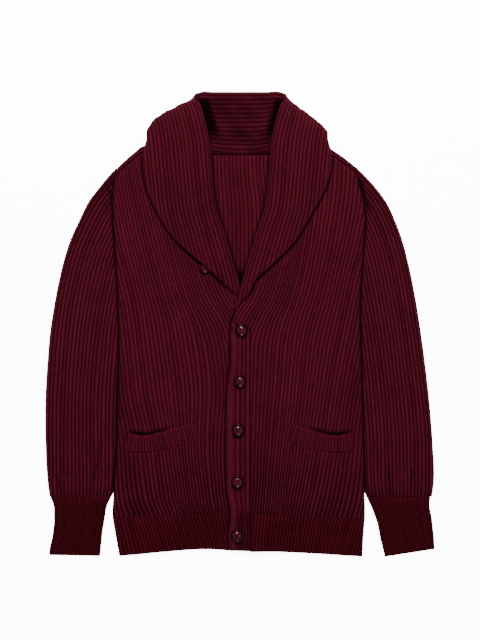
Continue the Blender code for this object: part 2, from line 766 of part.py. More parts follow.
def make_welt(name, side, material):
    """A ribbed strip laid on the front below the pocket mouth."""
    reach = column(WELT, 0)
    across = np.linspace(0, 1, 2 * WELT_RIBS + 1)
    distance = reach[0] + across * (reach[-1] - reach[0])
    top = line(WELT[::-1], distance, 1)
    foot = line(WELT[::-1], distance, 2)
    steps = np.array([0.0, 0.12, 0.9, 1.0])[:, None]
    height = foot + steps * (top - foot)
    x = side * np.broadcast_to(distance, height.shape)
    under = front_lift(x, height, side) + WALL + RIB + GAP
    stand_off = np.array([0.0, 0.0, 0.9, 1.0])[:, None]
    ribs = 0.8 * rib_wave(len(across)) * np.array([0.2, 1, 1, 0.3])[:, None]
    outer = np.stack([x, height, under + stand_off + 1.7 + ribs], axis=-1)
    pick = np.append(np.arange(0, len(across) - 1, 6), len(across) - 1)
    inner = np.stack([x, height, under + stand_off], axis=-1)[:, pick]
    return add_solid(name, wall_mesh(outer, inner, across, across[pick]), material)


def button_profile(name, size):
    """Half section of a button from the middle of its face down to the middle of its back."""
    points = [(0.0, 0.0, BUTTON_PROFILE[-1][1])]
    points += [(radius, 0.0, height) for radius, height in BUTTON_PROFILE[::-1]]
    points.append((0.0, 0.0, BUTTON_PROFILE[0][1]))
    mesh = bpy.data.meshes.new(name)
    edges = [(i, i + 1) for i in range(len(points) - 1)]
    mesh.from_pydata([tuple(size * MM * c for c in point) for point in points], edges, [])
    return mesh


def make_button(name, profile, place, floor, material):
    """A turned disc with a raised rim and a dished middle, standing at X, height and Z."""
    disc = bpy.data.objects.new(name, profile)
    bpy.context.scene.collection.objects.link(disc)
    disc.location = ((place[0] - MIDDLE[0]) * MM, (place[1] - MIDDLE[1]) * MM, floor * MM)
    turn = disc.modifiers.new("turn", "SCREW")
    turn.axis = "Z"
    turn.angle = 2 * math.pi
    turn.steps = BUTTON_SIDES
    turn.render_steps = BUTTON_SIDES
    turn.use_merge_vertices = True
    turn.merge_threshold = 0.0001
    if not profile.materials:
        profile.materials.append(material)
    return disc


def main():
    for old in list(bpy.data.objects):
        bpy.data.objects.remove(old, do_unlink=True)
    knit = make_material("rib_knit", KNIT_COLOUR, 0.9)
    trim = make_material("rib_trim", RIB_TRIM_COLOUR, 0.9)
    gloss = make_material("button", BUTTON_COLOUR, 0.25)

    make_back(knit)
    make_back_hem(trim)
    for word, side in (("right", -1), ("left", 1)):
        make_front("front_" + word, side, knit)
        make_front_hem("hem_" + word, side, trim)
        make_sleeve("sleeve_" + word, side, knit)
        make_cuff("cuff_" + word, side, trim)
        make_welt("pocket_welt_" + word, side, knit)
    make_upper_band(knit)
    make_under_band(knit)
    make_collar(knit)

    band_face = TOP_BAND_LIFT + WALL + RIB + GAP
    profile = button_profile("button_profile", 1.0)
    for number, place in enumerate(BAND_BUTTONS, 1):
        make_button("button_%d" % number, profile, place, band_face, gloss)
    front_face = FRONT_LIFT + WALL + RIB + GAP
    small = button_profile("small_button_profile", LAPEL_BUTTON_SIZE)
    make_button("button_lapel", small, LAPEL_BUTTON, front_face, gloss)


main()
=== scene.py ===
"""Shawl collar cardigan in chunky rib knit, buttoned and laid flat on its back.

Every cut piece is a closed knitted wall whose ribs are raised in its upper face. Lengths are in
millimetres until a mesh is made: X runs across the body, H is the height above the lowest edge of
the hem and Z the height above the table. "Left" and "right" in names are the wearer's, and side
is 1 for the left and -1 for the right. u is a distance from the middle, side times X.
"""

import math

import bpy
import numpy as np
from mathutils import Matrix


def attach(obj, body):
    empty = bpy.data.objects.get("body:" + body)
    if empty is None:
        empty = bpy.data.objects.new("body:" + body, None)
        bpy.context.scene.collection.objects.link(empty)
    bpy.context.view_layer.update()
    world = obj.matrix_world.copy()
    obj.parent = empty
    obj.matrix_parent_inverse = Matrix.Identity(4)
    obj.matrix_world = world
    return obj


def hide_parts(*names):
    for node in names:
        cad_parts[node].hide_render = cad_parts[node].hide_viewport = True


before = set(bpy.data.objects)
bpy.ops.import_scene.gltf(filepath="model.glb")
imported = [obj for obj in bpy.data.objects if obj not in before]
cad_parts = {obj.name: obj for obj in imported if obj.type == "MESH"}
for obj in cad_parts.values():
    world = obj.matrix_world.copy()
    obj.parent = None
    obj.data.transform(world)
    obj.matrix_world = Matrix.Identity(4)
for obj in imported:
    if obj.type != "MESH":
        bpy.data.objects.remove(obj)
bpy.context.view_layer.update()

MM = 0.001
MIDDLE = (0.85, 407.45)  # X and height of the middle of the whole garment
VALLEY = 1.9  # thickness of the knit at the bottom of a groove
RELIEF = 1.8  # how far a rib stands above it
LIP = 0.6  # thickness left at a rounded edge
GAP = 0.3  # between two pieces at a seam
SHARP_ANGLE = 62.0  # edges that turn by more degrees are drawn sharp
RIB_STEPS = np.array([0.0, 0.07, 0.18, 0.34, 0.5, 0.66, 0.82, 0.93])  # columns across one rib

FRONT_LIFT = 3.6  # underside of a front, where it lies on the back
EDGE_LIFT = 2.6  # the same along its seams, where it meets the back
TOP_BAND_LIFT = 5.1  # underside of the button band that lies on the other one
EDGE_RUN = 14.0  # how far from a seam the front starts to dip

BAND_FOOT = 11.0  # lower end of both button bands
HEM_TOP = 70.0
BAND_HEM_TOP = 78.0  # the hem's seam where it crosses the upper button band
CUFF_TOP = 106.0
SLEEVE_FOOT = 106.5
BREAK = 412.7  # top end of the upper button band, just above the first button
UNDER_BREAK = 435.4  # the same of the band beneath
BAND_SEAM = 18.4  # X of the upper band's seam
SHOULDER_FOLD = 9.6  # how far the back's shoulder edges are folded over to the front
SHOULDER_FOLD_HEIGHT = 6.2  # Z of the folded edge

FRONT_RIBS = 28
FRONT_START = 415.0  # the ribs of a front are evenly spread at this height
FRONT_SPAN = (68.0, 740.0)  # and are followed down and up to these heights
CHEST = 428.0  # the rows of a front are level below it and fan out to the shoulder above
PLEATED_TOP = 215.0  # the ribs of a front are pushed together from here down to PLEATED_FOOT
PLEATED_FOOT = 110.0
HEM_RIBS = 34
HEM_SPAN = (-4.0, 74.0)  # the same for the hem, whose ribs are evenly spread at HEM_TOP
BACK_HEM_RIBS = 60
SLEEVE_RIBS = 19
SLEEVE_START = 290.0  # the ribs of a sleeve are evenly spread at this height
SLEEVE_SPAN = (104.0, 688.0)  # and are followed between these
SLEEVE_BEND = 560.0  # the rows of a sleeve are closer above it
CUFF_RIBS = 22
CUFF_WIDTH = 92.0  # about how wide a cuff is, for the rounding of its edges
WELT_RIBS = 23

BACK_WALL = 2.2  # thickness of the back where it shows no ribs
BACK_RIB_PITCH = 6.8
HALF_BACK_RIBS = 14  # ribs of the back on each side of its middle that stand up
NECK_FOOT = 470.0  # lowest row of the back that shows in the neck opening

TUBE_EDGE = 2.7  # Z of a flattened tube's folded edges
TUBE_FACE = 5.1  # Z of its upper face in the grooves
TUBE_WIDTH = 118.0  # about how wide it is, for the rounding of its underside
LIP_REACH = 1.9  # how far a sleeve's seam allowance reaches in between front and back
SLEEVE_CLEAR = 0.9  # from the body's side edge to the sleeve

# Columns of a tube's underside and of its lining, as shares of the way from its outer folded edge
# to the inner one, and the Z of the lining below the upper face.
TUBE_FLOOR = np.array([1.0, 0.985, 0.96, 0.9, 0.79, 0.6, 0.35, 0.2, 0.1, 0.04, 0.015])
TUBE_LINING = np.array([0.035, 0.08, 0.35, 0.6, 0.79, 0.92, 0.965])
LINING_HEIGHT = np.array([2.7, 3.2, 3.2, 3.2, 3.2, 3.2, 2.7])
LINING_FLOOR = 2.0  # Z of the lining above the underside

ROLLED_EDGE = 13.0  # smooth rolled strip along the upper band's free edge
BAND_WIDTH = 34.0
BAND_RIBS = 3  # between the rolled edge and the seam
HEM_BAND_RIBS = 5  # the same below the hem's seam, where the finer rib runs on
BAND_TURN = 385.0  # above it the band's rows lean to its slanting top end
UNDER_BAND_RIBS = 5

COLLAR_RIB_PITCH = 6.8
STAND_RIB_PITCH = 7.9
STAND_RIBS = 16
FALL_RIBS = 22
COLLAR_WALL = 2.0  # from the face, without its ribs, to the inner face
SPAN_POINTS = 16  # points of a section's curve between two of its control points
STAND_POINTS = 40  # even points across the stand in which the face is worked out
FALL_POINTS = 70
CROWN_RUN = 8.0  # from the roll to the crown of the fall beside it
LONG_STEP = 29.0  # sections further apart than this get one more between them
COLLAR_STEP = 4.0  # from row to row along the collar

# Side edges of the body: height, wearer's right edge, wearer's left edge.
SIDES = (
    (0, -210.0, 215.0),
    (40, -217.0, 217.0),
    (70, -222.0, 219.5),
    (110, -220.5, 219.0),
    (194, -214.5, 216.5),
    (275, -213.0, 214.5),
    (338, -211.0, 213.0),
    (451, -212.5, 211.0),
    (532, -217.0, 216.0),
    (590, -221.0, 219.5),
    (632, -220.5, 214.5),
    (655, -218.0, 207.0),
    (681, -214.5, 200.5),
)

# Top edge of the back: X, height.
BACK_TOP = (
    (-214.5, 680.5),
    (-197, 697.0),
    (-184, 708.0),
    (-172, 718.0),
    (-156.5, 723.0),
    (-125, 725.0),
    (-87, 729.5),
    (-72, 718.0),
    (-53.5, 712.6),
    (-28, 709.8),
    (31, 709.8),
    (57, 712.6),
    (75.5, 718.0),
    (90.5, 729.5),
    (127, 727.0),
    (158.5, 715.5),
    (184, 698.0),
    (200.5, 685.0),
)

# Lower edge of the hem: X, height.
HEM_FOOT = (
    (-211, 2.0),
    (-170, 5.5),
    (-139, 8.5),
    (-25, 12.0),
    (-13, 10.5),
    (70, 9.0),
    (141, 5.5),
    (215, 1.0),
)

# Free edge of the upper button band: height, X.
BAND_EDGE = (
    (11, -16.0),
    (40.2, -20.0),
    (70.15, -16.0),
    (90, -17.5),
    (106, -21.5),
    (150, -23.0),
    (220, -24.0),
    (290, -22.5),
    (350, -15.5),
    (390, -16.0),
    (412.7, -14.5),
)

# Neck edge of each front, from the break up: height, wearer's right, wearer's left.
NECK_EDGE = (
    (413, -16.0, 19.1),
    (436, -17.3, 20.6),
    (457, -21.3, 23.6),
    (480, -24.4, 27.9),
    (516, -36.7, 40.2),
    (569, -54.2, 57.7),
    (625, -69.9, 73.4),
    (669, -80.8, 84.3),
    (700, -86.8, 90.3),
    (732, -86.5, 90.0),
)

# Outer edge of a sleeve: height, wearer's right, wearer's left.
SLEEVE_EDGE = (
    (107, -332.5, 337.0),
    (131, -335.5, 340.0),
    (200, -339.3, 338.0),
    (285, -339.3, 331.0),
    (341, -336.0, 324.5),
    (397, -331.0, 317.0),
    (453, -322.0, 308.0),
    (509, -310.0, 296.7),
    (551, -297.5, 286.0),
    (593, -278.5, 270.5),
    (621, -264.5, 257.0),
    (649, -243.5, 236.0),
    (677, -219.0, 209.5),
    (686, -209.5, 200.0),
)

# The cuffs: height, inner and outer edge of the wearer's right cuff, then of the left one.
CUFF_SIDES = (
    (0, -244.0, -333.5, 254.0, 341.0),
    (19, -242.0, -331.5, 249.5, 341.0),
    (33, -240.5, -328.0, 246.0, 340.5),
    (47, -239.0, -326.0, 243.5, 339.0),
    (61, -236.5, -324.5, 240.5, 337.5),
    (75, -234.5, -324.5, 235.5, 335.5),
    (89, -232.0, -325.0, 230.0, 332.5),
    (106, -224.0, -331.0, 222.0, 334.0),
)

# Lower edge of the cuffs: share of the width from the inner edge, height right, height left.
CUFF_FOOT = (
    (0.0, 2.0, 0.5),
    (0.2, 7.0, 5.0),
    (0.5, 10.5, 9.0),
    (0.8, 8.0, 12.0),
    (1.0, 3.5, 14.0),
)

# A pocket welt: distance from the middle, height of its upper and of its lower edge.
WELT = (
    (70, 237.5, 208.0),
    (84, 234.0, 205.0),
    (110, 226.0, 195.0),
    (135, 219.0, 188.0),
    (157, 213.5, 184.5),
    (180, 213.5, 183.5),
    (197, 218.0, 186.0),
)
WELT_ENDS = (197.0, 78.0)  # distances from the middle

# How far a rib of the front leans from the vertical, in degrees, towards the middle on its way
# down: height, then the lean at six places from the side edge to the middle.
RIGHT_LEAN = (
    (70, 12, 20, 22, 18, 14, 10),
    (82, 12, 24, 24, 19, 14, 8),
    (117, 6, 9, 9, 8, 7, 5),
    (152, 2, 5, 8, 8, 6, 2),
    (205, 7, 9, 9, 6, 1, -1),
    (257, 13, 14, 10, 2, -6, -5),
    (310, 4, 5, 6, 6, 5, 3),
    (362, 7, 7, 8, 8, 9, 6),
    (397, 7, 8, 9, 12, 20, 20),
    (432, 8, 10, 17, 26, 34, 36),
    (467, 14, 15, 16, 18, 22, 26),
    (520, 14, 15, 15, 15, 15, 16),
    (580, 12, 14, 15, 14, 13, 12),
    (640, 10, 13, 15, 15, 14, 12),
    (740, 8, 12, 14, 15, 14, 12),
)
LEFT_LEAN = (
    (70, 15, 15, 14, 11, 7, 4),
    (82, 14, 16, 15, 12, 8, 4),
    (117, 8, 11, 12, 10, 6, 3),
    (152, 3, 8, 11, 9, 5, 1),
    (327, 13, 10, 8, 6, 4, 1),
    (362, 12, 12, 9, 6, 5, 4),
    (397, 8, 12, 15, 13, 14, 22),
    (432, 12, 14, 18, 21, 32, 35),
    (467, 14, 14, 14, 15, 18, 22),
    (520, 17, 15, 12, 11, 11, 14),
    (560, 15, 12, 10, 8, 8, 10),
    (600, 10, 9, 8, 7, 7, 9),
    (650, 2, 3, 3, 3, 4, 6),
    (740, 0, 1, 2, 2, 3, 5),
)
# The same above a cuff, from the sleeve's outer edge to its inner one: towards the body on the
# way down. Higher up, the ribs run side by side with the outer edge.
SLEEVE_LEAN = (
    (100, 0, 2, 1, 0, -4, -10),
    (118, 3, 4, 2, -2, -8, -12),
    (140, 1, 0, 0, 0, -1, -2),
    (190, -1, 0, 0, 0, 0, 0),
)
HEM_LEAN_RIGHT = ((0, 10, 14, 14, 14, 12, 9), (70, 14, 20, 20, 19, 16, 12))
HEM_LEAN_LEFT = ((0, 15, 12, 10, 7, 5, 2), (70, 20, 17, 14, 11, 7, 4))
LEAN_PLACES = np.linspace(0, 1, 6)
LEAN_STEP = 2.0  # steps of height in which a rib is followed

# Inner edge of a front at the crossing of the lapels: height, X. The wearer's right front reaches
# under the crossing, the left one over the top of its button band and under the lapel.
RIGHT_CROSSING = (
    (405, -17.5),
    (413, -15.5),
    (425, -9.5),
    (437, -4.5),
    (450, -1.5),
    (463, 0.0),
    (480, -24.4),
)
LEFT_CROSSING = (
    (398, 19.1),
    (403, -4.0),
    (410, -10.5),
    (415, -11.3),
    (425, -9.3),
    (437, -5.0),
    (450, 1.5),
    (457, 7.0),
    (466, 25.2),
)

# Creases where a sleeve is set in and above its cuff: side, distance from the middle, height,
# lean towards the body on the way down in degrees, half length, half width, depth.
SLEEVE_CREASES = (
    (-1, 229, 643, 27, 15, 1.9, 1.2),
    (-1, 222, 652, 17, 12, 1.7, 1.1),
    (-1, 238, 641, 35, 10, 1.8, 0.6),
    (-1, 224, 621, 12, 14, 1.8, 0.7),
    (-1, 243, 196, -9, 26, 3.5, 0.5),
    (-1, 252, 150, -14, 20, 3.0, 0.6),
    (-1, 318, 132, 16, 14, 2.4, 0.8),
    (1, 216, 644, -17, 17, 2.0, 1.2),
    (1, 211, 655, -25, 12, 1.7, 0.9),
    (1, 222, 620, -12, 15, 1.9, 0.9),
    (1, 230, 629, -34, 10, 1.8, 0.6),
    (1, 240, 180, -7, 30, 3.2, 0.5),
    (1, 262, 139, -12, 16, 2.6, 0.7),
    (1, 301, 141, 10, 18, 3.0, 0.7),
)

# Sections of the collar on the wearer's left, from the centre back round to the lapel: points
# (X, height, Z) on the face that shows, then the crown's Z and how much wider the fall is on the
# wearer's right.
COLLAR_CENTRE = 1.75
COLLAR = (
    # seam, tuck, roll, turn, edge, crown, more
    ((1.75, 704.0, 4.6), (1.75, 808, 5.4), (1.75, 814, 2.7), (1.75, 768, 0), (1.75, 728, 0), 0, 0),
    ((29, 704.0, 4.6), (44, 808, 5.4), (45, 814, 2.7), (43, 768, 0), (43, 728, 0), 0, 0),
    ((43.4, 704.3, 4.6), (68, 806, 5.6), (73, 813.4, 3), (78, 770, 0), (81, 734, 0), 0, 0),
    ((48.5, 704.8, 4.6), (73.5, 801.5, 6.0), (82, 807, 4.6), (91, 797.5, 0.6), (93, 740, 0),
     0.8, 3),
    ((53, 706, 4.6), (76, 794, 6.5), (80, 799.5, 10.5), (94.5, 795, 4.5), (101, 740, 0), 9.5, 4),
    ((57, 709, 4.6), (77, 783, 6.5), (72.1, 792.8, 11), (103, 789.5, 5), (111, 741, 0.3), 15, 11),
    ((65, 714.5, 4.6), (76.5, 757, 8.5), (64.8, 770, 14), (130.5, 768.3, 6), (135.6, 739, 0.3),
     20, 20),
    ((76.5, 724.8, 4.4), (78, 738, 11.5), (59.2, 747, 15), (153, 747, 7), (151.4, 733.5, 1),
     21.5, 12.5),
    ((84, 731, 4.3), (81.5, 721.5, 10.5), (55.1, 724.5, 14.5), (153, 724.5, 12),
     (158.4, 719.5, 10.2), 21.5, 11.5),
    ((88.4, 700, 4.2), (79.6, 695, 7), (52.2, 696.5, 13.5), (149.6, 693, 13.5),
     (161.5, 691.3, 11.6), 20.5, 11.5),
    ((83.1, 668.5, 4.2), (67.4, 664, 5), (48.7, 658, 12), (141, 649.3, 13), (151.9, 647.5, 11.8),
     19, 15),
    ((72.6, 624.8, 4.2), (55, 619.5, 4.4), (44.1, 614.3, 9.5), (119.9, 603.8, 12.2),
     (127.8, 602, 11.8), 16.5, 20),
    ((56.9, 568.8, 4.2), (41, 569.5, 4.4), (30.1, 570.5, 8.6), (88, 556.5, 11.8), (98, 553, 11.8),
     14.5, 17),
)
# The lapel ends, where the collar runs into the button bands: the same columns, without more.
RIGHT_LAPEL = (
    ((-36, 516.3, 4.2), (-25.5, 522, 4.4), (-13.5, 525, 8.2), (-54, 511, 15.4),
     (-60.3, 508.5, 15.2), 14),
    ((-23.6, 479.5, 3.8), (-11.4, 483, 3.7), (-1.4, 484.8, 6.3), (-25.5, 482.1, 10.4),
     (-33.5, 482.1, 10.2), 10.6),
    ((-20.5, 456.8, 4.0), (-9.6, 460.3, 4.2), (2.4, 464.6, 5.5), (-6.1, 463.8, 8.6),
     (-11, 462.9, 8.5), 8.6),
    ((-16.4, 435.4, 4.4), (-4.4, 435.8, 4.6), (9.2, 438.4, 5.2), (7, 439.3, 8.2),
     (4.8, 440.1, 8.2), 8.2),
)
LEFT_LAPEL = (
    ((39.4, 516.3, 4.3), (27.5, 522, 4.8), (16.6, 525, 9), (47, 512.8, 12.6), (55, 508.4, 11.2),
     14),
    ((26.5, 479.5, 6.0), (17, 481.3, 8), (4.6, 483.9, 11.2), (20, 483, 15.0), (27, 482.1, 13.2),
     15.6),
    ((16.0, 456.8, 6.6), (9, 460.3, 8.6), (0.2, 463.8, 12.6), (11.1, 463.8, 15.4),
     (18.4, 462.9, 14.2), 15.4),
    ((-1.0, 435.8, 7.4), (-3.6, 436.6, 8.2), (-5.3, 437.5, 10.8), (-0.8, 440.1, 12.0),
     (3.0, 442.8, 9.8), 12.3),
    ((-8.0, 412.3, 6.9), (-11.0, 412.3, 6.9), (-14.3, 412.3, 7.0), (-13.4, 412.3, 8.0),
     (-12.9, 412.3, 8.0), 8.0),
)

# Buttons on the upper band, from the top: X, height.
BAND_BUTTONS = ((3.5, 397.0), (1.2, 307.5), (-2.3, 222.5), (-3.3, 132.0), (-4.4, 38.0))
LAPEL_BUTTON = (-60.5, 505.0)  # the spare one on the wearer's right front, half under the lapel
LAPEL_BUTTON_SIZE = 0.8
HOLE_REACH = 2.9  # from a button's middle to the middle of a hole
HOLE_RADIUS = 1.25
HOLE_DEPTH = 1.7
# the rim's painted shade fades in between these radii
BUTTON_RIM = (6.6, 8.4)  # its looks pass from the dish to the rim between these radii
BACK_FACE = 7.5  # radius of the flat of its back

# Half section of a button from the middle of its back round the rim to the middle of its face:
# radius, height.
BUTTON_PROFILE = (
    (0.0, 0.0),
    (BACK_FACE, 0.0),
    (9.6, 0.5),
    (10.8, 1.6),
    (11.1, 2.7),
    (10.8, 3.8),
    (9.9, 4.6),
    (8.8, 4.5),
    (7.8, 3.3),
    (6.9, 2.9),
    (5.2, 3.6),
    (2.6, 4.5),
    (0.0, 4.8),
)


# -------------------------------------------------------------- curves and grids


def column(table, index):
    """One column of a table, as an array."""
    return np.array([row[index] for row in table], float)


def line(table, at, value, key=0):
    """Straight interpolation of one column of a table over its key column."""
    return np.interp(at, column(table, key), column(table, value))


def curve(table, at, value):
    """Smooth interpolation of one column of a table over its first column.

    Between two rows it is the cubic that has the rows' values and, at each row, the slope of the
    parabola through that row and its neighbours. Beyond the ends it keeps the end value.
    """
    x, y = column(table, 0), column(table, value)
    return hermite(x, y, np.gradient(y, x), np.clip(at, x[0], x[-1]))


def hermite(x, y, slope, at):
    """Cubic through the knots x with the values y and slopes there, along the first axis."""
    i = np.clip(np.searchsorted(x, at, side="right") - 1, 0, len(x) - 2)
    step = x[i + 1] - x[i]
    t = (at - x[i]) / step
    for _ in range(y.ndim - 1):
        t, step = t[..., None], step[..., None]
    first = (1 + 2 * t) * (1 - t) ** 2 * y[i] + t**2 * (3 - 2 * t) * y[i + 1]
    return first + step * (t * (1 - t) ** 2 * slope[i] - t**2 * (1 - t) * slope[i + 1])


def smooth(low, high, x):
    """0 below low, 1 above high, with a soft start and end between."""
    t = np.clip((x - low) / (high - low), 0.0, 1.0)
    return t * t * (3.0 - 2.0 * t)


def bump(x, middle, reach):
    """A soft hump of height 1 at the middle that fades to nothing about two reaches away."""
    return np.exp(-(((x - middle) / reach) ** 2))


def rounded(distance, radius):
    """A quarter circle that rises from 0 at an edge to 1 a radius away from it."""
    near = 1.0 - np.clip(distance / radius, 0.0, 1.0)
    return np.sqrt(1.0 - near**2)


def rib_columns(count):
    """Places of the columns across this many ribs, counted in ribs, closer beside the grooves."""
    return np.append((np.arange(count)[:, None] + RIB_STEPS).ravel(), float(count))


def spare_ribs(before, count, after):
    """Columns of this many ribs and of spare ones before and after them, counted from the first
    of this many."""
    return rib_columns(before + count + after) - before


def rib_profile(phase):
    """Height of a rib from 0 in the groove to 1 on its crest: a full, flat-topped half wave."""
    return np.abs(np.sin(np.pi * phase)) ** 0.6


def ripple(a, b, seed):
    """Slow uneven waves between about -1 and 1: four sines of unlike lengths and directions."""
    total = 0.0
    for k in range(4):
        turn = seed * 1.7 + k * 2.1
        reach = 1.0 + 0.43 * k
        total = total + np.sin(reach * (a * np.cos(turn) + b * np.sin(turn)) + seed * (k + 1.3))
    return total / 3.0


def rib_gain(phase, seed):
    """How full each rib is, from about 0.85 to 1.15: a number of its own for every whole rib."""
    number = np.floor(phase)
    return 1.0 + 0.08 * np.sin(2.4 * number + seed) + 0.07 * np.sin(5.9 * number + 2.0 * seed)


def waver(phase, run, seed):
    """How far ribs stray sideways, in millimetres: slow drifts that neighbours share and smaller
    ones of their own."""
    return 0.9 * ripple(phase / 5, run / 75, seed) + 0.5 * ripple(phase / 1.6, run / 28, seed + 3)


def smooth_rows(grid, knots, at):
    """Rows of a grid of points carried smoothly between its own rows, which stand at the knots."""
    return hermite(knots, grid, np.gradient(grid, knots, axis=0), at)


def soft_steps(count):
    """Steps from 0 to 1 that are closer together at both ends."""
    return 0.5 - 0.5 * np.cos(np.linspace(0, np.pi, count))


def every(step, count):
    """Every so manieth of this many columns, and the last."""
    return np.unique(np.append(np.arange(0, count, step), count - 1))


def path_run(path):
    """Length along a path up to each of its points."""
    return np.concatenate([[0], np.cumsum(np.linalg.norm(np.diff(path, axis=0), axis=1))])


# ------------------------------------------------------------------- walls


def grid_triangles(index, turned):
    """Two triangles for each cell of a grid of point numbers."""
    a, b, c, d = index[:-1, :-1], index[:-1, 1:], index[1:, 1:], index[1:, :-1]
    if turned:
        b, d = d, b
    halves = [np.stack([a, b, c], axis=-1), np.stack([a, c, d], axis=-1)]
    return np.concatenate([half.reshape(-1, 3) for half in halves])


def proper(faces):
    """The triangles whose three corners are three different points."""
    a, b, c = faces.T
    return faces[(a != b) & (b != c) & (c != a)]


def end_strip(fine, coarse, pick, turned):
    """Triangles between a fine row and a coarse one that stands under its points pick."""
    middle = (pick[:-1] + pick[1:]) // 2
    own = np.searchsorted(middle, np.arange(len(fine) - 1), side="right")
    strip = np.concatenate(
        [
            np.stack([fine[1:], fine[:-1], coarse[own]], axis=-1),
            np.stack([coarse[:-1], coarse[1:], fine[middle]], axis=-1),
        ]
    )
    return strip[:, ::-1] if turned else strip


def wall(outer, inner, pick, own=None, closed=False):
    """Points and triangles of a wall between an outer grid and a coarser inner one.

    Both have the same rows. Inner point j of a row stands under outer column pick[row, j]. Where
    own is given, column k of a row is drawn at the point of column own[row, k], so that columns
    cut off at an edge all end on one point of it. A closed wall runs round a tube.
    """
    rows, count = outer.shape[:2]
    own = np.broadcast_to(np.arange(count) if own is None else own, (rows, count))
    pick = np.broadcast_to(pick, (rows, np.shape(pick)[-1]))
    index = own + count * np.arange(rows)[:, None]
    under = np.arange(rows * inner.shape[1]).reshape(rows, -1) + rows * count
    if closed:
        index = np.hstack([index, index[:, :1]])
        under = np.hstack([under, under[:, :1]])
        pick = np.hstack([pick, np.full((rows, 1), count)])
    faces = [grid_triangles(index, False), grid_triangles(under, True)]
    for row, turned in ((0, False), (-1, True)):
        kept = np.append(True, np.diff(index[row]) != 0)
        spot = np.cumsum(kept) - 1
        faces.append(end_strip(index[row][kept], under[row], spot[pick[row]], turned))
    if not closed:
        for start, end in ((index[:, 0], under[:, 0]), (under[:, -1], index[:, -1])):
            faces.append(grid_triangles(np.stack([start, end], axis=1), True))
    points = np.vstack([outer.reshape(-1, 3), inner.reshape(-1, 3)])
    return points, proper(np.concatenate(faces))


def cut_columns(first, last, count):
    """The column at whose point each is drawn when only first to last of every row show."""
    return np.clip(np.arange(count)[None, :], first[:, None], last[:, None])


def add_mesh(name, node, points, faces, wales, material, painted_shade):
    """An object that stands for a node and moves with the garment.

    It is made from points (X, height, Z), triangles, the wale map of each point and, for the
    points of the outer grid, how much painted shade darkens each one's colour.
    """
    # painted shade of every point: given for the outer grid, none on the inner one
    depth = np.zeros(len(points))
    depth[: np.size(painted_shade)] = np.ravel(painted_shade)
    used, faces = np.unique(faces, return_inverse=True)
    faces = faces.reshape(-1, 3)
    points, wales, depth = points[used], wales[used], depth[used]
    corners = points[faces]
    volume = np.einsum("ij,ij->i", corners[:, 0], np.cross(corners[:, 1], corners[:, 2])).sum()
    if volume < 0:
        faces = faces[:, ::-1]
    points = (points - np.array([MIDDLE[0], MIDDLE[1], 0.0])) * MM
    mesh = bpy.data.meshes.new(name)
    mesh.vertices.add(len(points))
    mesh.vertices.foreach_set("co", points.ravel())
    mesh.loops.add(faces.size)
    mesh.loops.foreach_set("vertex_index", faces.ravel())
    mesh.polygons.add(len(faces))
    mesh.polygons.foreach_set("loop_start", np.arange(0, faces.size, 3))
    mesh.update(calc_edges=True)
    layer = mesh.uv_layers.new(name="wales")
    layer.data.foreach_set("uv", wales[faces.ravel()].ravel())
    # the painted shade, which the materials read to darken their colour
    painted_shade_layer = mesh.attributes.new("painted_shade", "FLOAT", "POINT")
    painted_shade_layer.data.foreach_set("value", depth.astype(np.float32))
    mesh.validate()
    mesh.shade_smooth()
    mesh.set_sharp_from_angle(angle=math.radians(SHARP_ANGLE))
    mesh.materials.append(material)
    piece = add_object(name, mesh)
    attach(piece, "root")
    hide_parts(node)
    return piece


def add_object(name, data, spot=(0.0, 0.0, 0.0)):
    """A new object in the scene."""
    thing = bpy.data.objects.new(name, data)
    bpy.context.scene.collection.objects.link(thing)
    thing.location = spot
    return thing


def wale_map(phase, run, inner_phase, inner_run):
    """Each point's place in the knit: ribs across and millimetres along."""
    outer = np.stack([phase, run], axis=-1).reshape(-1, 2)
    return np.vstack([outer, np.stack([inner_phase, inner_run], axis=-1).reshape(-1, 2)])


def add_panel(node, material, grid, floor, phase, pick, own=None, painted_shade=0.0):
    """A piece whose upper face is a grid of X, height and Z and whose underside lies beneath it,
    at the Z of the floor.

    phase says which rib each point of the grid is on, and pick, own and the painted shade are as
    for a wall and its mesh.
    """
    outer = np.stack(grid, axis=-1)
    rows = np.arange(len(outer))[:, None]
    pick = np.broadcast_to(pick, (len(outer), np.shape(pick)[-1]))
    phase = np.broadcast_to(phase, outer.shape[:2])
    inner = outer[rows, pick]
    inner[..., 2] = np.broadcast_to(floor, outer.shape[:2])[rows, pick]
    points, faces = wall(outer, inner, pick, own)
    wales = wale_map(phase, outer[..., 1], phase[rows, pick], inner[..., 1])
    return add_mesh(node + "_knit", node, points, faces, wales, material, painted_shade)


def lay_grid(piece, across, height, *beneath):
    """Works out the area of a piece cut as a grid of these distances and heights, which nothing
    uses.
    """
    area = abs((np.diff(across, axis=1)[:-1] * np.diff(height, axis=0)[:, :-1]).sum())
    np.ptp(across)


# -------------------------------------------------------------- body panels


def column_of(side):
    """Column of a table that holds the wearer's right side or, after it, the left one."""
    return 1 if side < 0 else 2


def outward(edge, side):
    """An edge's distance from the middle, as a function of height alone."""
    return lambda height: side * edge(height, side)


def side_edge(height, side):
    """X of the body's side edge."""
    return curve(SIDES, height, column_of(side))


def front_end(height, side):
    """X at which a front is cut off: at its inner edge or, on the left, further in at the
    crossing of the lapels."""
    edge = front_centre_edge(height, side)
    if side < 0:
        return edge
    crossing = np.minimum(edge, line(LEFT_CROSSING, height, 1))
    return np.where(np.asarray(height) < LEFT_CROSSING[-1][0], crossing, edge)


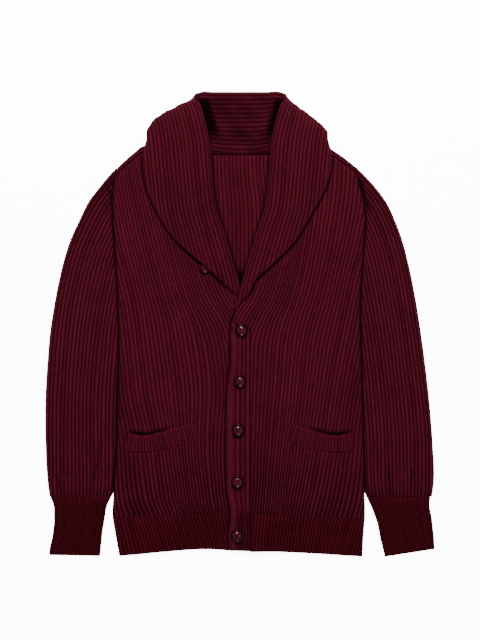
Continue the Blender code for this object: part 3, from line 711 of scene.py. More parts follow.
def front_centre_edge(height, side):
    """X of a front's inner edge: along its button band, then up the neck edge."""
    height = np.asarray(height, float)
    neck = curve(NECK_EDGE, height, column_of(side))
    if side < 0:
        neck = np.where(height < RIGHT_CROSSING[-1][0], line(RIGHT_CROSSING, height, 1), neck)
        band = curve(BAND_EDGE, height, 1) - 0.8 - 1.8 * bump(height, 70, 20)
        band = band - 1.7 * bump(height, 362, 24)
    else:
        band = np.full_like(height, BAND_SEAM + 0.7)
    return np.where(height < BREAK, band, neck)


def front_lift(x, height, side):
    """Z of a front's underside: it dips to the back along its seams and rises to the upper band."""
    to_side = side * (side_edge(height, side) - x)
    to_shoulder = line(BACK_TOP, x, 1) - SHOULDER_FOLD - height
    to_centre = side * (x - front_centre_edge(height, side))
    lift = (FRONT_LIFT - EDGE_LIFT) * smooth(0, EDGE_RUN, to_side)
    lift = EDGE_LIFT + lift * smooth(0, EDGE_RUN, to_shoulder)
    near_centre = 1.0 - smooth(0, 2.5 * EDGE_RUN, to_centre)
    below_break = 1.0 - smooth(BREAK + 60, BREAK + 140, height)
    target = EDGE_LIFT if side < 0 else TOP_BAND_LIFT
    lift = lift + (target - lift) * near_centre * below_break
    if side > 0:
        lift = lift + 1.7 * smooth(13, 2, x) * smooth(396, 410, height) * smooth(470, 455, height)
    return lift


def shoulder_top(u, side):
    """Height at which a front passes under the fold of the shoulder."""
    slot = 0.3 + 1.5 * bump(u, 180, 17)
    return line(BACK_TOP, side * np.maximum(u, 88.0), 1) - SHOULDER_FOLD - slot


def welt_edges(u):
    """Heights of a welt's upper and lower edge at a distance from the middle."""
    return curve(WELT, u, 1), curve(WELT, u, 2)


def front_swell(u, height, side):
    """How far a front stands above its plain lie: the fullness above the hem, slow waves over
    the whole cloth, and the drop into the pocket mouth."""
    fullness = 2.6 * bump(height, 92, 17) * (0.75 + 0.35 * ripple(u / 30, height / 60, 3 + side))
    waves = 0.55 * ripple(u / 34, height / 52, 5 + side)
    waves = waves + 0.35 * ripple(u / 15, height / 70, 8 - side)
    from_neck = u - np.abs(curve(NECK_EDGE, height, 1)) - 60
    clear_of_lapel = np.clip(smooth(0, 60, from_neck) + (height < 430), 0, 1)
    above_welt = height - welt_edges(u)[0]
    mouth = 3.2 * bump(above_welt, 1.5, 3.2) * (smooth(104, 135, u) * smooth(196, 188, u))
    clear_of_welt = smooth(4, 16, np.abs(above_welt + 14) - 20)
    swell = (fullness + waves * clear_of_welt) * clear_of_lapel * smooth(0, 18, u - 24)
    return swell - 0.6 * bump(height, 72, 7) - mouth


def rib_lines(phases, u_side, u_centre, start, lean, span):
    """Distance from the middle of every rib line at every step of height in a span.

    At the start height the lines are evenly spread. Up and down from there each follows the lean
    at its own place in the cloth, one small step of height at a time.
    """
    steps = np.arange(span[0], span[1] + 1.0, LEAN_STEP)
    begin = np.argmin(np.abs(steps - start))
    side, centre = u_side(steps), u_centre(steps)
    leans = np.stack([line(lean, steps, k) for k in range(1, 7)], axis=-1)
    u = np.empty((len(steps), len(phases)))
    u[begin] = side[begin] + phases * (centre[begin] - side[begin])
    for direction, stop in ((1, len(steps)), (-1, -1)):
        for i in range(begin + direction, stop, direction):
            past = i - direction
            place = (side[past] - u[past]) / (side[past] - centre[past])
            slope = np.tan(np.radians(np.interp(place, LEAN_PLACES, leans[past])))
            u[i] = u[past] + slope * (steps[i] - steps[past])
    return steps, u


def at_heights(steps, u, heights):
    """The rib lines' distances at heights of their own, by straight interpolation."""
    spot = np.clip((heights - steps[0]) / (steps[1] - steps[0]), 0, len(steps) - 1.001)
    low = spot.astype(int)
    share = spot - low
    line_number = np.arange(u.shape[1])[None, :]
    return u[low, line_number] * (1 - share) + u[low + 1, line_number] * share


def clipped(u, height, phases, u_side, u_centre):
    """Rib lines cut off at the side edge and at the centre edge of their piece.

    Gives the clipped distances, the phase of every point, and the first and last column of each
    row, which are the ones that lie on the two edges.
    """
    far, near = u_side(height), u_centre(height)
    first = (u > far).sum(axis=1) - 1
    last = u.shape[1] - (u < near).sum(axis=1)
    phase = np.broadcast_to(phases, u.shape).copy()
    rows = np.arange(len(u))
    for spot, inward, edge in ((first, 1, far), (last, -1, near)):
        outside, inside = u[rows, spot], u[rows, spot + inward]
        share = (edge[rows, spot] - inside) / (outside - inside)
        phase[rows, spot] = phases[spot + inward] + share * (phases[spot] - phases[spot + inward])
    return np.clip(u, near, far), phase, first, last


def picked(first, last, count):
    """Columns of the outer face under which the inner points of each row stand."""
    share = np.linspace(0, 1, count)
    return np.round(first[:, None] + share * (last - first)[:, None]).astype(int)


def hem_line(u, side):
    """Height of the line where the front meets its hem, a little uneven."""
    uneven = 1.5 * ripple(u / 21, side, 2) * smooth(24, 34, u) * smooth(212, 200, u)
    if side < 0:
        return HEM_TOP + uneven + 9.0 * smooth(160, 50, u)
    return HEM_TOP + uneven + 8.0 * smooth(115, 40, u) - 3.0 * smooth(120, 210, u)


def under_welt(u, height):
    """1 where a welt lies on the front and 0 away from it."""
    top, foot = welt_edges(u)
    inside = smooth(76, 82, u) * smooth(199, 195, u)
    return inside * smooth(foot - 3.5, foot - 0.5, height) * smooth(top + 0.5, top - 2.5, height)


def lapel_gap(u, height, side):
    """Distance of a point outside a lapel's outer edge, square to it. Negative is under it."""
    edge = collar_face()[0][::-side, -1]
    edge = edge[: np.argmax(np.diff(edge[:, 1]) <= 0) + 1]
    out = side * edge[:, 0]
    lean = np.interp(height, edge[:, 1], np.gradient(out, edge[:, 1]))
    return (u - np.interp(height, edge[:, 1], out)) / np.sqrt(1 + lean**2)


def make_front(name, side, material):
    """A front: its height above its lift is the groove's thickness plus the rib, all rounded down
    to a lip at the seams, plus the swell of the cloth."""
    edges = (side_edge, front_centre_edge, front_end)
    u_side, u_centre, u_end = (outward(edge, side) for edge in edges)
    phases = spare_ribs(14, FRONT_RIBS, 30)
    lean = RIGHT_LEAN if side < 0 else LEFT_LEAN
    steps, lines = rib_lines(phases / FRONT_RIBS, u_side, u_centre, FRONT_START, lean, FRONT_SPAN)
    top = steps[np.argmax(steps[:, None] > shoulder_top(lines, side), axis=0)]
    top = np.minimum(top, shoulder_top(at_heights(steps, lines, top[None, :])[0], side))
    low = np.linspace(HEM_TOP + GAP, CHEST, 96)
    high = np.linspace(0, 1, 62)[1:, None]
    height = np.vstack([np.repeat(low[:, None], len(phases), axis=1), CHEST + high * (top - CHEST)])
    uneven = hem_line(at_heights(steps, lines, height[:1]), side) - HEM_TOP
    height += uneven * smooth(130, HEM_TOP, height)
    u = at_heights(steps, lines, height) + waver(phases, height, 2 + side)
    u, phase, first, last = clipped(u, height, phases, u_side, u_end)
    x = side * u
    under = front_lift(x, height, side)

    edge = rounded(u_side(height) - u, 3.6) * rounded(height - hem_line(u, side) + 0.2, 0.9)
    near_band = 2.5 + 1.5 * smooth(BREAK + 10, BREAK - 10, height)
    if side > 0:
        near_band -= 2.2 * smooth(400, 410, height) * smooth(462, 456, height)
    to_shoulder = shoulder_top(u, side) + 0.6 - height
    edge *= rounded(to_shoulder, 2.0) * rounded(u - u_end(height) + 0.1, near_band)
    pleated = smooth(PLEATED_TOP, PLEATED_FOOT, height)
    rib = RELIEF * (1 + 0.2 * pleated) * rib_profile(phase) * rib_gain(phase, 1 + side)
    rib = VALLEY + rib * (1 - under_welt(u, height))
    z = under + LIP + (rib - LIP) * edge + front_swell(u, height, side) * np.minimum(1, edge * 1.2)
    from_lapel = lapel_gap(u, height, side)
    beneath_lapel = bump(from_lapel, -1.2, 3.2) * smooth(466, 480, height)
    z = np.maximum(z - 2.4 * beneath_lapel, under + LIP)

    # Painted shade: the shadow line beside a lapel's outer edge, the pocket mouth, the seams and
    # the grooves of the fuller ribs above the hem.
    above_welt = height - welt_edges(u)[0]
    mouth = 1.3 * bump(above_welt, 2.6, 2.8) * smooth(118, 140, u) * smooth(196, 186, u)
    seams = 0.7 * bump(u_side(height) - u, 0, 1.6)
    if side < 0:
        seams = seams + 0.8 * bump(u - u_centre(height), 0, 1.3)
    pleat_groove_shade = pleated * (0.04 + 0.65 * (1 - rib_profile(phase)))
    line_width = 2.5 + 1.2 * smooth(570, 490, height)
    lapel_shadow = bump(from_lapel, 0.2, line_width) * smooth(452, 462, height)
    painted_shade = np.clip(lapel_shadow + mouth + seams + pleat_groove_shade, 0, 1)
    grid = (x, height, z)
    pick, own = picked(first, last, 25), cut_columns(first, last, len(phases))
    piece = add_panel(name, material, grid, under, phase, pick, own, painted_shade)
    lay_grid(piece, u, height, "back")


def trim_shade(below):
    """Painted shade on the fine rib at a distance below the cloth above it, deeper further down,
    where it packs closer.
    """
    return 0.20 + 0.14 * smooth(-1, 18, below)


def make_front_hem(name, side, material):
    """The ribbed band below a front. Its ribs lean as the front's do above it."""
    u_side = outward(side_edge, side)

    def u_centre(height):
        return side * front_centre_edge(np.maximum(height, BAND_FOOT + 1), side)

    def lines_at(level):
        return at_heights(steps, lines, np.full((1, len(phases)), level))[0]

    phases = spare_ribs(9, HEM_RIBS, 3)
    lean = HEM_LEAN_RIGHT if side < 0 else HEM_LEAN_LEFT
    steps, lines = rib_lines(phases / HEM_RIBS, u_side, u_centre, HEM_TOP, lean, HEM_SPAN)
    foot = curve(HEM_FOOT, side * lines_at(8.0), 1)
    top = hem_line(lines_at(HEM_TOP), side) - 0.1
    height = foot + soft_steps(26)[:, None] * (top - foot)
    u = at_heights(steps, lines, height)
    u, phase, first, last = clipped(u, height, phases, u_side, u_centre)
    x = side * u
    under = front_lift(x, height, side)
    above_foot = height - foot
    edge = rounded(u_side(height) - u, 5.5) * rounded(above_foot + 0.1, 3.5)
    edge *= rounded(top + 0.3 - height, 0.9) * rounded(u - u_centre(height) + 0.1, 3.5)
    rib = VALLEY - 0.2 + 0.95 * RELIEF * rib_profile(phase) * rib_gain(phase, 4 + side)
    rib -= 0.5 * bump(above_foot, 5.5, 1.1)
    waves = 0.35 * ripple(u / 26, height / 40, 2 + side) * smooth(24, 40, u)
    grid = (x, height, under + LIP + (rib + waves - LIP) * edge)
    pick, own = picked(first, last, 19), cut_columns(first, last, len(phases))
    # painted shade of the fine rib below the front
    shade = trim_shade(top - height)
    piece = add_panel(name, material, grid, under, phase, pick, own, shade)
    lay_grid(piece, u, height, "hem_back")


def back_x(share, height):
    """X at a share of the way from the body's side edge on the wearer's right to the left one."""
    right, left = side_edge(height, -1), side_edge(height, 1)
    return right + share * (left - right)


def back_edge(x, height):
    """0 at the back's side edges and 1 where it has its whole thickness."""
    return rounded(x - side_edge(height, -1), 4.0) * rounded(side_edge(height, 1) - x, 4.0)


def make_back(material):
    """Flat beneath. Its ribs stand up inside the neck opening and its shoulder edges are folded
    over to the front."""
    ribs = COLLAR_CENTRE + BACK_RIB_PITCH * (rib_columns(2 * HALF_BACK_RIBS) - HALF_BACK_RIBS)
    right, left = BACK_TOP[0][0], BACK_TOP[-1][0]
    beside = np.linspace(right, ribs[0], 21)[:-1], np.linspace(ribs[-1], left, 20)[1:]
    tip = np.concatenate([beside[0], ribs, beside[1]])
    top = line(BACK_TOP, tip, 1)
    low = np.repeat(np.linspace(HEM_TOP + GAP, NECK_FOOT - 18, 24)[:, None], len(tip), axis=1)
    crown = NECK_FOOT + np.linspace(0, 1, 44)[:, None] * (top - SHOULDER_FOLD - 1.0 - NECK_FOOT)
    fold = top - SHOULDER_FOLD + SHOULDER_FOLD * np.linspace(0, 1, 9)[:, None]
    height = np.vstack([low, crown, fold])
    x = back_x((tip - tip[0]) / (tip[-1] - tip[0]), height)

    inset = np.minimum(x - line(NECK_EDGE, height, 1), line(NECK_EDGE, height, 2) - x)
    from_middle = tip - COLLAR_CENTRE
    phase = np.broadcast_to(from_middle / BACK_RIB_PITCH, x.shape)
    ribbed = np.abs(from_middle) <= HALF_BACK_RIBS * BACK_RIB_PITCH
    shown = ribbed * smooth(440, 500, height) * smooth(0, 3, inset) * smooth(704, 697, height)
    z = LIP + (BACK_WALL - LIP) * back_edge(x, height) + shown * (-0.5 + 1.5 * rib_profile(phase))
    over = rounded(height - (top - SHOULDER_FOLD - 0.6), 2.0) * rounded(top - height, 2.6)
    rise = (SHOULDER_FOLD_HEIGHT - BACK_WALL) * over * smooth(92, 100, np.abs(from_middle))
    z = np.where(height >= top - SHOULDER_FOLD - 0.001, z + rise, z)

    # Painted shade: a dark line beside the collar's roll, deeper on the wearer's right, and the
    # back darkened wholly lower down, where the fronts cover it.
    out = x - COLLAR_CENTRE
    from_roll = roll_x(height) - np.abs(out)
    shade_beside_roll = smooth(5.5, 0.5, from_roll) * smooth(-16, -8, from_roll)
    shade_beside_roll = shade_beside_roll * smooth(712, 700, height) * np.where(out < 0, 0.85, 0.7)
    painted_shade = np.maximum(shade_beside_roll, smooth(512, 490, height))
    grid, pick = (x, height, z), every(7, len(tip))
    piece = add_panel("back", material, grid, 0.0, phase, pick, painted_shade=painted_shade)
    lay_grid(piece, x, height)


def make_back_hem(material):
    """The ribbed band below the back, plain on both faces because the front hems cover it."""
    at = rib_columns(BACK_HEM_RIBS)[::4] / BACK_HEM_RIBS
    foot = curve(HEM_FOOT, back_x(at, 5.0), 1) + 1.0
    height = foot + np.linspace(0, 1, 14)[:, None] * (HEM_TOP + GAP - foot)
    x = back_x(at, height)
    z = LIP + (BACK_WALL - LIP) * (back_edge(x, height) * rounded(height - foot, 2.5))
    grid, phase, pick = (x, height, z), at * BACK_HEM_RIBS, every(4, len(at))
    piece = add_panel("hem_back", material, grid, 0.0, phase, pick)


# ------------------------------------------------------------------ sleeves


def add_tube(node, material, top, phase, own, far, near, ribs, fold):
    """A flattened tube, hollow along its middle.

    top is its upper face, whose columns have this phase and, where they are cut off at an edge,
    are drawn at the points own. far and near are the X and height of its two folded edges in
    every row; the flat underside and the lining within are spread between them. fold says how
    much painted shade darkens each point of the upper face.
    """

    def between(share, z):
        spot = far[:, None] + share[:, None] * (near - far)[:, None]
        return np.concatenate([spot, np.broadcast_to(z, spot.shape[:2])[..., None]], axis=-1)

    rows, count = top.shape[:2]
    turned_in = 1 - rounded(np.minimum(TUBE_FLOOR, 1 - TUBE_FLOOR) * TUBE_WIDTH, 4.0)
    outer = np.concatenate([top, between(TUBE_FLOOR, TUBE_EDGE * 0.8 * turned_in)], axis=1)
    back = TUBE_LINING[1:-1][::-1]
    inner = [between(TUBE_LINING, LINING_HEIGHT), between(back, LINING_FLOOR)]
    inner = np.concatenate(inner, axis=1)
    first, last = own[:, :1], own[:, -1:]
    above = np.round(first + TUBE_LINING * (last - first)).astype(int)
    below = count + np.searchsorted(-TUBE_FLOOR, -back)
    pick = np.hstack([above, np.broadcast_to(below, (rows, len(back)))])
    own_floor = np.broadcast_to(count + np.arange(len(TUBE_FLOOR)), (rows, len(TUBE_FLOOR)))
    points, faces = wall(outer, inner, pick, np.hstack([own, own_floor]), closed=True)
    floor_phase = np.broadcast_to(ribs * (2 - TUBE_FLOOR), own_floor.shape)
    inner_phase = np.broadcast_to(ribs * np.concatenate([TUBE_LINING, 2 - back]), inner.shape[:2])
    wales = wale_map(np.hstack([phase, floor_phase]), outer[..., 1], inner_phase, inner[..., 1])
    # painted shade of the outer points: the upper face's, and on the folded edge the darkest of its
    # row
    folded = np.zeros(outer.shape[:2])
    folded[:, :count] = fold
    folded[:, count] = folded[:, :count].max(axis=1)
    piece = add_mesh(node + "_knit", node, points, faces, wales, material, folded)


def tube_top(to_edge, phase, relief, swell):
    """Height of a tube's upper face: a quarter ellipse up from its folded edges, then the ribs."""
    round_over = rounded(to_edge, 5.5)
    body = TUBE_EDGE + (TUBE_FACE - TUBE_EDGE) * round_over
    rib = relief * rib_profile(phase) * rib_gain(phase, 7) * (0.25 + 0.75 * rounded(to_edge, 4.0))
    return body + (rib + swell) * round_over


def creased(u, height, side):
    """Depth of all the creases at a point: each is a soft trough along a line of its own."""
    depth = np.zeros_like(u)
    for own_side, out, level, lean, half_length, half_width, deep in SLEEVE_CREASES:
        if own_side == side:
            turn = math.radians(lean)
            along = (height - level) * math.cos(turn) + (u - out) * math.sin(turn)
            across = (u - out) * math.cos(turn) - (height - level) * math.sin(turn)
            depth = depth + deep * bump(along, 0, half_length) * bump(across, 0, half_width)
    return depth


def sleeve_edge(height, side):
    """X of a sleeve's outer edge."""
    return curve(SLEEVE_EDGE, height, column_of(side))


def sleeve_lean(u_outer, u_inner):
    """The table of a sleeve's leans. Above the cuff's gathers a rib at some distance from the
    outer edge has that edge's lean a little further up, as curves side by side have."""
    height = np.arange(220.0, 700.0, 15.0)
    width = u_outer(height) - u_inner(height)
    known = np.arange(200.0, 681.0, 4.0)
    edge = np.degrees(np.arctan(np.gradient(u_outer(known), known)))
    edge = np.convolve(np.pad(edge, 4, mode="edge"), np.full(9, 1 / 9), mode="valid")
    further = np.sin(np.radians(np.interp(height, known, edge)))
    rows = [np.interp(height - place * width * further, known, edge) for place in LEAN_PLACES]
    return np.vstack([np.array(SLEEVE_LEAN, float), np.column_stack([height] + rows)])


def make_sleeve(name, side, material):
    """A tube whose ribs follow its outer edge and run out along its inner edge and the armhole."""
    u_outer = outward(sleeve_edge, side)

    def u_inner(height):
        gather = 4.0 * bump(height, SLEEVE_FOOT, 5.0)
        return side * side_edge(height, side) + SLEEVE_CLEAR + gather

    ribs, tip = (SLEEVE_RIBS, 679.5) if side < 0 else (SLEEVE_RIBS - 1, 683.5)
    phases = spare_ribs(14, ribs, 12)
    lean = sleeve_lean(u_outer, u_inner)
    steps, lines = rib_lines(phases / ribs, u_outer, u_inner, SLEEVE_START, lean, SLEEVE_SPAN)
    level = np.linspace(SLEEVE_FOOT, SLEEVE_BEND, 108)
    level = np.append(level, np.linspace(SLEEVE_BEND, tip, 38)[1:])
    height = np.repeat(level[:, None], len(phases), axis=1)
    u = at_heights(steps, lines, height) + waver(phases, height, 5 + side)
    u, phase, first, last = clipped(u, height, phases, u_outer, u_inner)
    to_edge = np.minimum(u_outer(height) - u, u - u_inner(height))
    gather = 1.6 * bump(height, 122, 13) * (0.8 + 0.5 * np.sin(phase * 1.37 + side))
    waves = 0.7 * ripple(u / 24, height / 46, 4 + side) + 0.4 * ripple(u / 12, height / 80, 7)
    troughs = creased(u, height, side)
    swell = gather + waves - 0.8 * bump(height, SLEEVE_FOOT, 4) - 1.4 * troughs
    top = np.stack([side * u, height, tube_top(to_edge, phase, RELIEF, swell)], axis=-1)
    far = np.stack([side * u_outer(level), level], axis=-1)
    near = np.stack([side * (u_inner(level) - LIP_REACH), level], axis=-1)
    own = cut_columns(first, last, len(phases))
    # Painted shade: a dark line along the armhole seam, in the creases and the grooves, darker near
    # the cuff and towards the sleeve's top, more on the wearer's right.
    seam = bump(u - u_inner(height), 0, 2.0) * smooth(SLEEVE_FOOT, 125, height)
    shade = 0.28 * (1 - rib_profile(phase)) + 0.16 * smooth(140, 108, height)
    shade = shade + (0.18 if side < 0 else 0.12) * smooth(540, 630, height)
    fold = np.clip(seam * (0.5 + 0.4 * smooth(672, 645, height)) + 0.75 * troughs + shade, 0, 1)
    add_tube(name, material, top, phase, own, far, near, ribs, fold)


def make_cuff(name, side, material):
    """A straight-ribbed tube round the wrist, drawn in below the sleeve."""
    inner_column, outer_column = (1, 2) if side < 0 else (3, 4)
    phases = rib_columns(CUFF_RIBS)
    share = 1 - phases / CUFF_RIBS

    def place(share):
        foot = curve(CUFF_FOOT, share, column_of(side))
        height = foot + np.linspace(0, 1, 28)[:, None] * (SLEEVE_FOOT + 0.2 - foot)
        inner_x = curve(CUFF_SIDES, height, inner_column)
        outer_x = curve(CUFF_SIDES, height, outer_column)
        return inner_x + share * (outer_x - inner_x), height

    x, height = place(share)
    above_foot = height - height[:1]
    waves = 0.45 * ripple(x / 18, height / 30, 6 + side)
    ends = 1 - rounded(above_foot, 4.0) * rounded(SLEEVE_FOOT + 0.4 - height, 2.0)
    swell = waves - 1.6 * ends - 0.5 * bump(above_foot, 6.0, 1.2)
    phase = np.broadcast_to(phases, x.shape)
    to_edge = np.broadcast_to(np.minimum(share, 1 - share) * CUFF_WIDTH, x.shape)
    top = np.stack([x, height, tube_top(to_edge, phase, 0.75 * RELIEF, swell)], axis=-1)
    own = np.broadcast_to(np.arange(len(phases)), x.shape)
    far, near = (np.concatenate(place(np.array([end])), axis=1) for end in (1.0, 0.0))
    # painted shade of the fine rib, a little deeper than the hem's
    shade = trim_shade(CUFF_TOP - height) + 0.05
    add_tube(name, material, top, phase, own, far, near, CUFF_RIBS, shade)


# -------------------------------------------------------------- button bands


def make_upper_band(material):
    """Across the band: a smooth rolled edge like half a rope, then three ribs to the seam. Below
    the hem's seam the ribs are finer and darker."""
    level = np.union1d(np.linspace(BAND_FOOT, BREAK, 150), column(BAND_EDGE, 0))
    level = np.append(level, BREAK + 1.2)[:, None]
    width = BAND_WIDTH - ROLLED_EDGE
    ribs = [rib_columns(count) * width / count for count in (BAND_RIBS, HEM_BAND_RIBS)]
    ribs = ROLLED_EDGE + np.unique(np.round(np.concatenate(ribs), 2))
    reach = np.append(ROLLED_EDGE * soft_steps(14)[:-1], ribs)
    edge = curve(BAND_EDGE, level, 1)
    x = edge + reach / BAND_WIDTH * (BAND_SEAM - edge)
    top = line(LEFT_CROSSING[3::-1], x[-1], 0, key=1) - 0.4
    above = np.clip(level - BAND_TURN, 0, None) / (level[-1] - BAND_TURN)
    height = np.where(above > 0, BAND_TURN + above * (top - BAND_TURN), level)

    half = ROLLED_EDGE / 2
    half_round = np.sqrt(np.clip(1 - ((reach - half) / half) ** 2, 0, 1))
    rolled = LIP + (VALLEY + RELIEF - LIP) * half_round
    count = np.where(height < BAND_HEM_TOP, HEM_BAND_RIBS, BAND_RIBS)
    across = count * (reach - ROLLED_EDGE) / width
    ribbed = VALLEY - 0.4 + (RELIEF + 0.4) * rib_profile(across)
    thick = np.where(reach < ROLLED_EDGE - 0.3, rolled, ribbed)
    ends = rounded(height - (BAND_FOOT - 0.2), 3.0) * rounded(BAND_SEAM + 0.1 - x, 2.0)
    inside = smooth(0, 8, reach) * smooth(BAND_WIDTH, BAND_WIDTH - 8, reach)
    wave = 0.25 * ripple(height / 17, x / 30, 9) * inside
    sunk = 0.7 * bump(height, BAND_HEM_TOP, 1.6)
    z = TOP_BAND_LIFT + LIP + (thick - LIP + wave - sunk) * ends
    grid = (x, height, np.maximum(z, TOP_BAND_LIFT + LIP / 2))

    strip = 0.5 + 0.35 * np.sin((reach / ROLLED_EDGE - 0.5) * np.pi)
    phase = np.where(reach < ROLLED_EDGE, strip, across)
    # painted shade on the ribs below the hem's seam, as dark as the hem's fine rib
    painted_shade = 0.31 * smooth(BAND_HEM_TOP + 1, BAND_HEM_TOP - 1, height)
    painted_shade = painted_shade * smooth(ROLLED_EDGE - 3, ROLLED_EDGE + 1, reach)
    pick = np.array([0, 8, 30, len(reach) - 1])
    piece = add_panel(
        "band_left", material, grid, TOP_BAND_LIFT, phase, pick, painted_shade=painted_shade
    )


def make_under_band(material):
    """The band beneath, sewn to the wearer's right front, plain where the other one covers it."""
    level = np.linspace(BAND_FOOT, UNDER_BREAK + 1.5, 120)[:, None]
    start = front_centre_edge(level, -1) + GAP
    end = np.interp(level, [380, 435], [18.0, 9.2])
    phases = rib_columns(UNDER_BAND_RIBS)
    x = start + phases / UNDER_BAND_RIBS * (end - start)
    height = np.broadcast_to(level, x.shape)
    edge = rounded(end - x, 2.0) * rounded(height - (BAND_FOOT - 0.2), 3.0)
    thinner = 0.5 * smooth(UNDER_BREAK - 2, UNDER_BREAK + 1.5, height)
    rib = 1.4 + 0.9 * rib_profile(phases) - thinner
    grid = (x, height, EDGE_LIFT + LIP + (rib - LIP) * edge)
    pick = np.array([0, 12, 24, len(phases) - 1])
    # painted shade along the band's edge by the front, in the crevice there
    seam = smooth(9, 3, x - start)
    piece = add_panel(
        "band_right", material, grid, EDGE_LIFT, phases, pick, painted_shade=seam
    )


# ------------------------------------------------------------------ collar


def collar_sections():
    """Control points of every section, from the wearer's right lapel end to the left one.

    Each is seam, tuck, roll, crown, turn, edge. The wearer's right half mirrors the left and its
    fall is wider by the column more.
    """

    def with_crown(seam, tuck, roll, turn, edge, crown_z):
        roll, turn = np.array(roll, float), np.array(turn, float)
        way = (turn - roll)[:2]
        reach = np.hypot(*way)
        run = min(CROWN_RUN, 0.4 * reach)
        crown = np.append(roll[:2] + way * run / reach, crown_z)
        return np.array([seam, tuck, roll, crown, turn, edge], float)

    def mirrored(row):
        points = np.array(row[:5], float)
        points[:, 0] = 2 * COLLAR_CENTRE - points[:, 0]
        points[3:, 0] -= row[6]
        return with_crown(*points, row[5])

    right = [with_crown(*row) for row in RIGHT_LAPEL[::-1]]
    right += [mirrored(row) for row in COLLAR[:0:-1]]
    left = [with_crown(*row[:6]) for row in COLLAR]
    left += [with_crown(*row) for row in LEFT_LAPEL]
    return halved(np.array(right + left))


def halved(sections):
    """The sections with one more between two far apart, on a smooth curve through four of them."""
    out = [sections[0]]
    for i in range(1, len(sections)):
        before, first, second = sections[max(i - 2, 0)], sections[i - 1], sections[i]
        after = sections[min(i + 1, len(sections) - 1)]
        step = np.linalg.norm(second[4] - first[4])
        off_centre = abs(second[2, 0] - COLLAR_CENTRE) > 1.0
        if LONG_STEP < step and off_centre and first[3, 2] > 1.0 < second[3, 2]:
            out.append((9 * (first + second) - before - after) / 16)
        out.append(second)
    return np.array(out)


def curve_through(points):
    """A centripetal Catmull-Rom curve through the points of one section."""
    ends = np.vstack([2 * points[0] - points[1], points, 2 * points[-1] - points[-2]])
    out = []
    for i in range(1, len(ends) - 2):
        quad = ends[i - 1 : i + 3]
        gaps = np.sqrt(np.linalg.norm(np.diff(quad, axis=0), axis=1))
        knots = np.concatenate([[0], np.cumsum(gaps)])
        t = np.linspace(knots[1], knots[2], SPAN_POINTS, endpoint=False)[:, None]

        def between(p, q, low, high):
            share = (t - knots[low]) / (knots[high] - knots[low])
            return (1 - share) * p + share * q

        a1, a2, a3 = (between(quad[k], quad[k + 1], k, k + 1) for k in range(3))
        out.append(between(between(a1, a2, 0, 2), between(a2, a3, 1, 3), 1, 2))
    out.append(points[-1:])
    return np.vstack(out)


def even_points(path, count):
    """Points at even steps of length along a path."""
    run = path_run(path)
    at = np.linspace(0, run[-1], count)
    return np.stack([np.interp(at, run, path[:, k]) for k in range(3)], axis=-1)


def grid_normals(grid):
    """Unit normals of a grid of points, from its neighbours along and across."""
    normal = np.cross(np.gradient(grid, axis=0), np.gradient(grid, axis=1))
    return normal / np.maximum(np.linalg.norm(normal, axis=-1, keepdims=True), 1e-9)


def collar_face():
    """The collar's face as rows of even points, seam to roll to free edge, and each row's place
    along the collar."""
    rows = []
    for section in collar_sections():
        path = curve_through(section)
        roll = np.argmin(np.linalg.norm(path - section[2], axis=1))
        stand = even_points(path[: roll + 1], STAND_POINTS)
        rows.append(np.vstack([stand[:-1], even_points(path[roll:], FALL_POINTS)]))
    rows = np.array(rows)
    knots = path_run(rows[:, STAND_POINTS + FALL_POINTS // 2])
    at = np.linspace(0, knots[-1], int(knots[-1] / COLLAR_STEP))
    return smooth_rows(rows, knots, at), at


def roll_x(height):
    """How far the roll lies from the middle at a height beside the neck."""
    rows = [row[2] for row in COLLAR[5:] + LEFT_LAPEL[:2]]
    return np.interp(height, column(rows, 1)[::-1], column(rows, 0)[::-1] - COLLAR_CENTRE)


def collar_shade(spots, place):
    """Painted shade on the collar's points: dark beside the roll and within it on the stand, and a
    little on the fall. spots are their distances from the roll."""
    off_middle, level = place[..., 0] - COLLAR_CENTRE, place[..., 1]
    from_roll = roll_x(level) - np.abs(off_middle)
    dark_run = np.where(off_middle < 0, 25.0, 19.0)
    # painted shadow on the stand beside the roll, wider on the wearer's right
    shade_beside_roll = smooth(dark_run, dark_run - 12, from_roll)
    shade_beside_roll = shade_beside_roll * smooth(808, 796, level) * smooth(716, 748, level)
    # patchy painted shade over the stand inside the neck
    within = 0.42 + 0.22 * ripple(place[..., 0] / 13, level / 11, 4)
    within = within * smooth(811, 799, level) * smooth(690, 704, level)
    # a little painted shade on the fall, more on the wearer's right
    fall = 0.06 + 0.06 * smooth(0, -60, off_middle)
    return np.where(spots < 0, np.maximum(shade_beside_roll, within), fall)


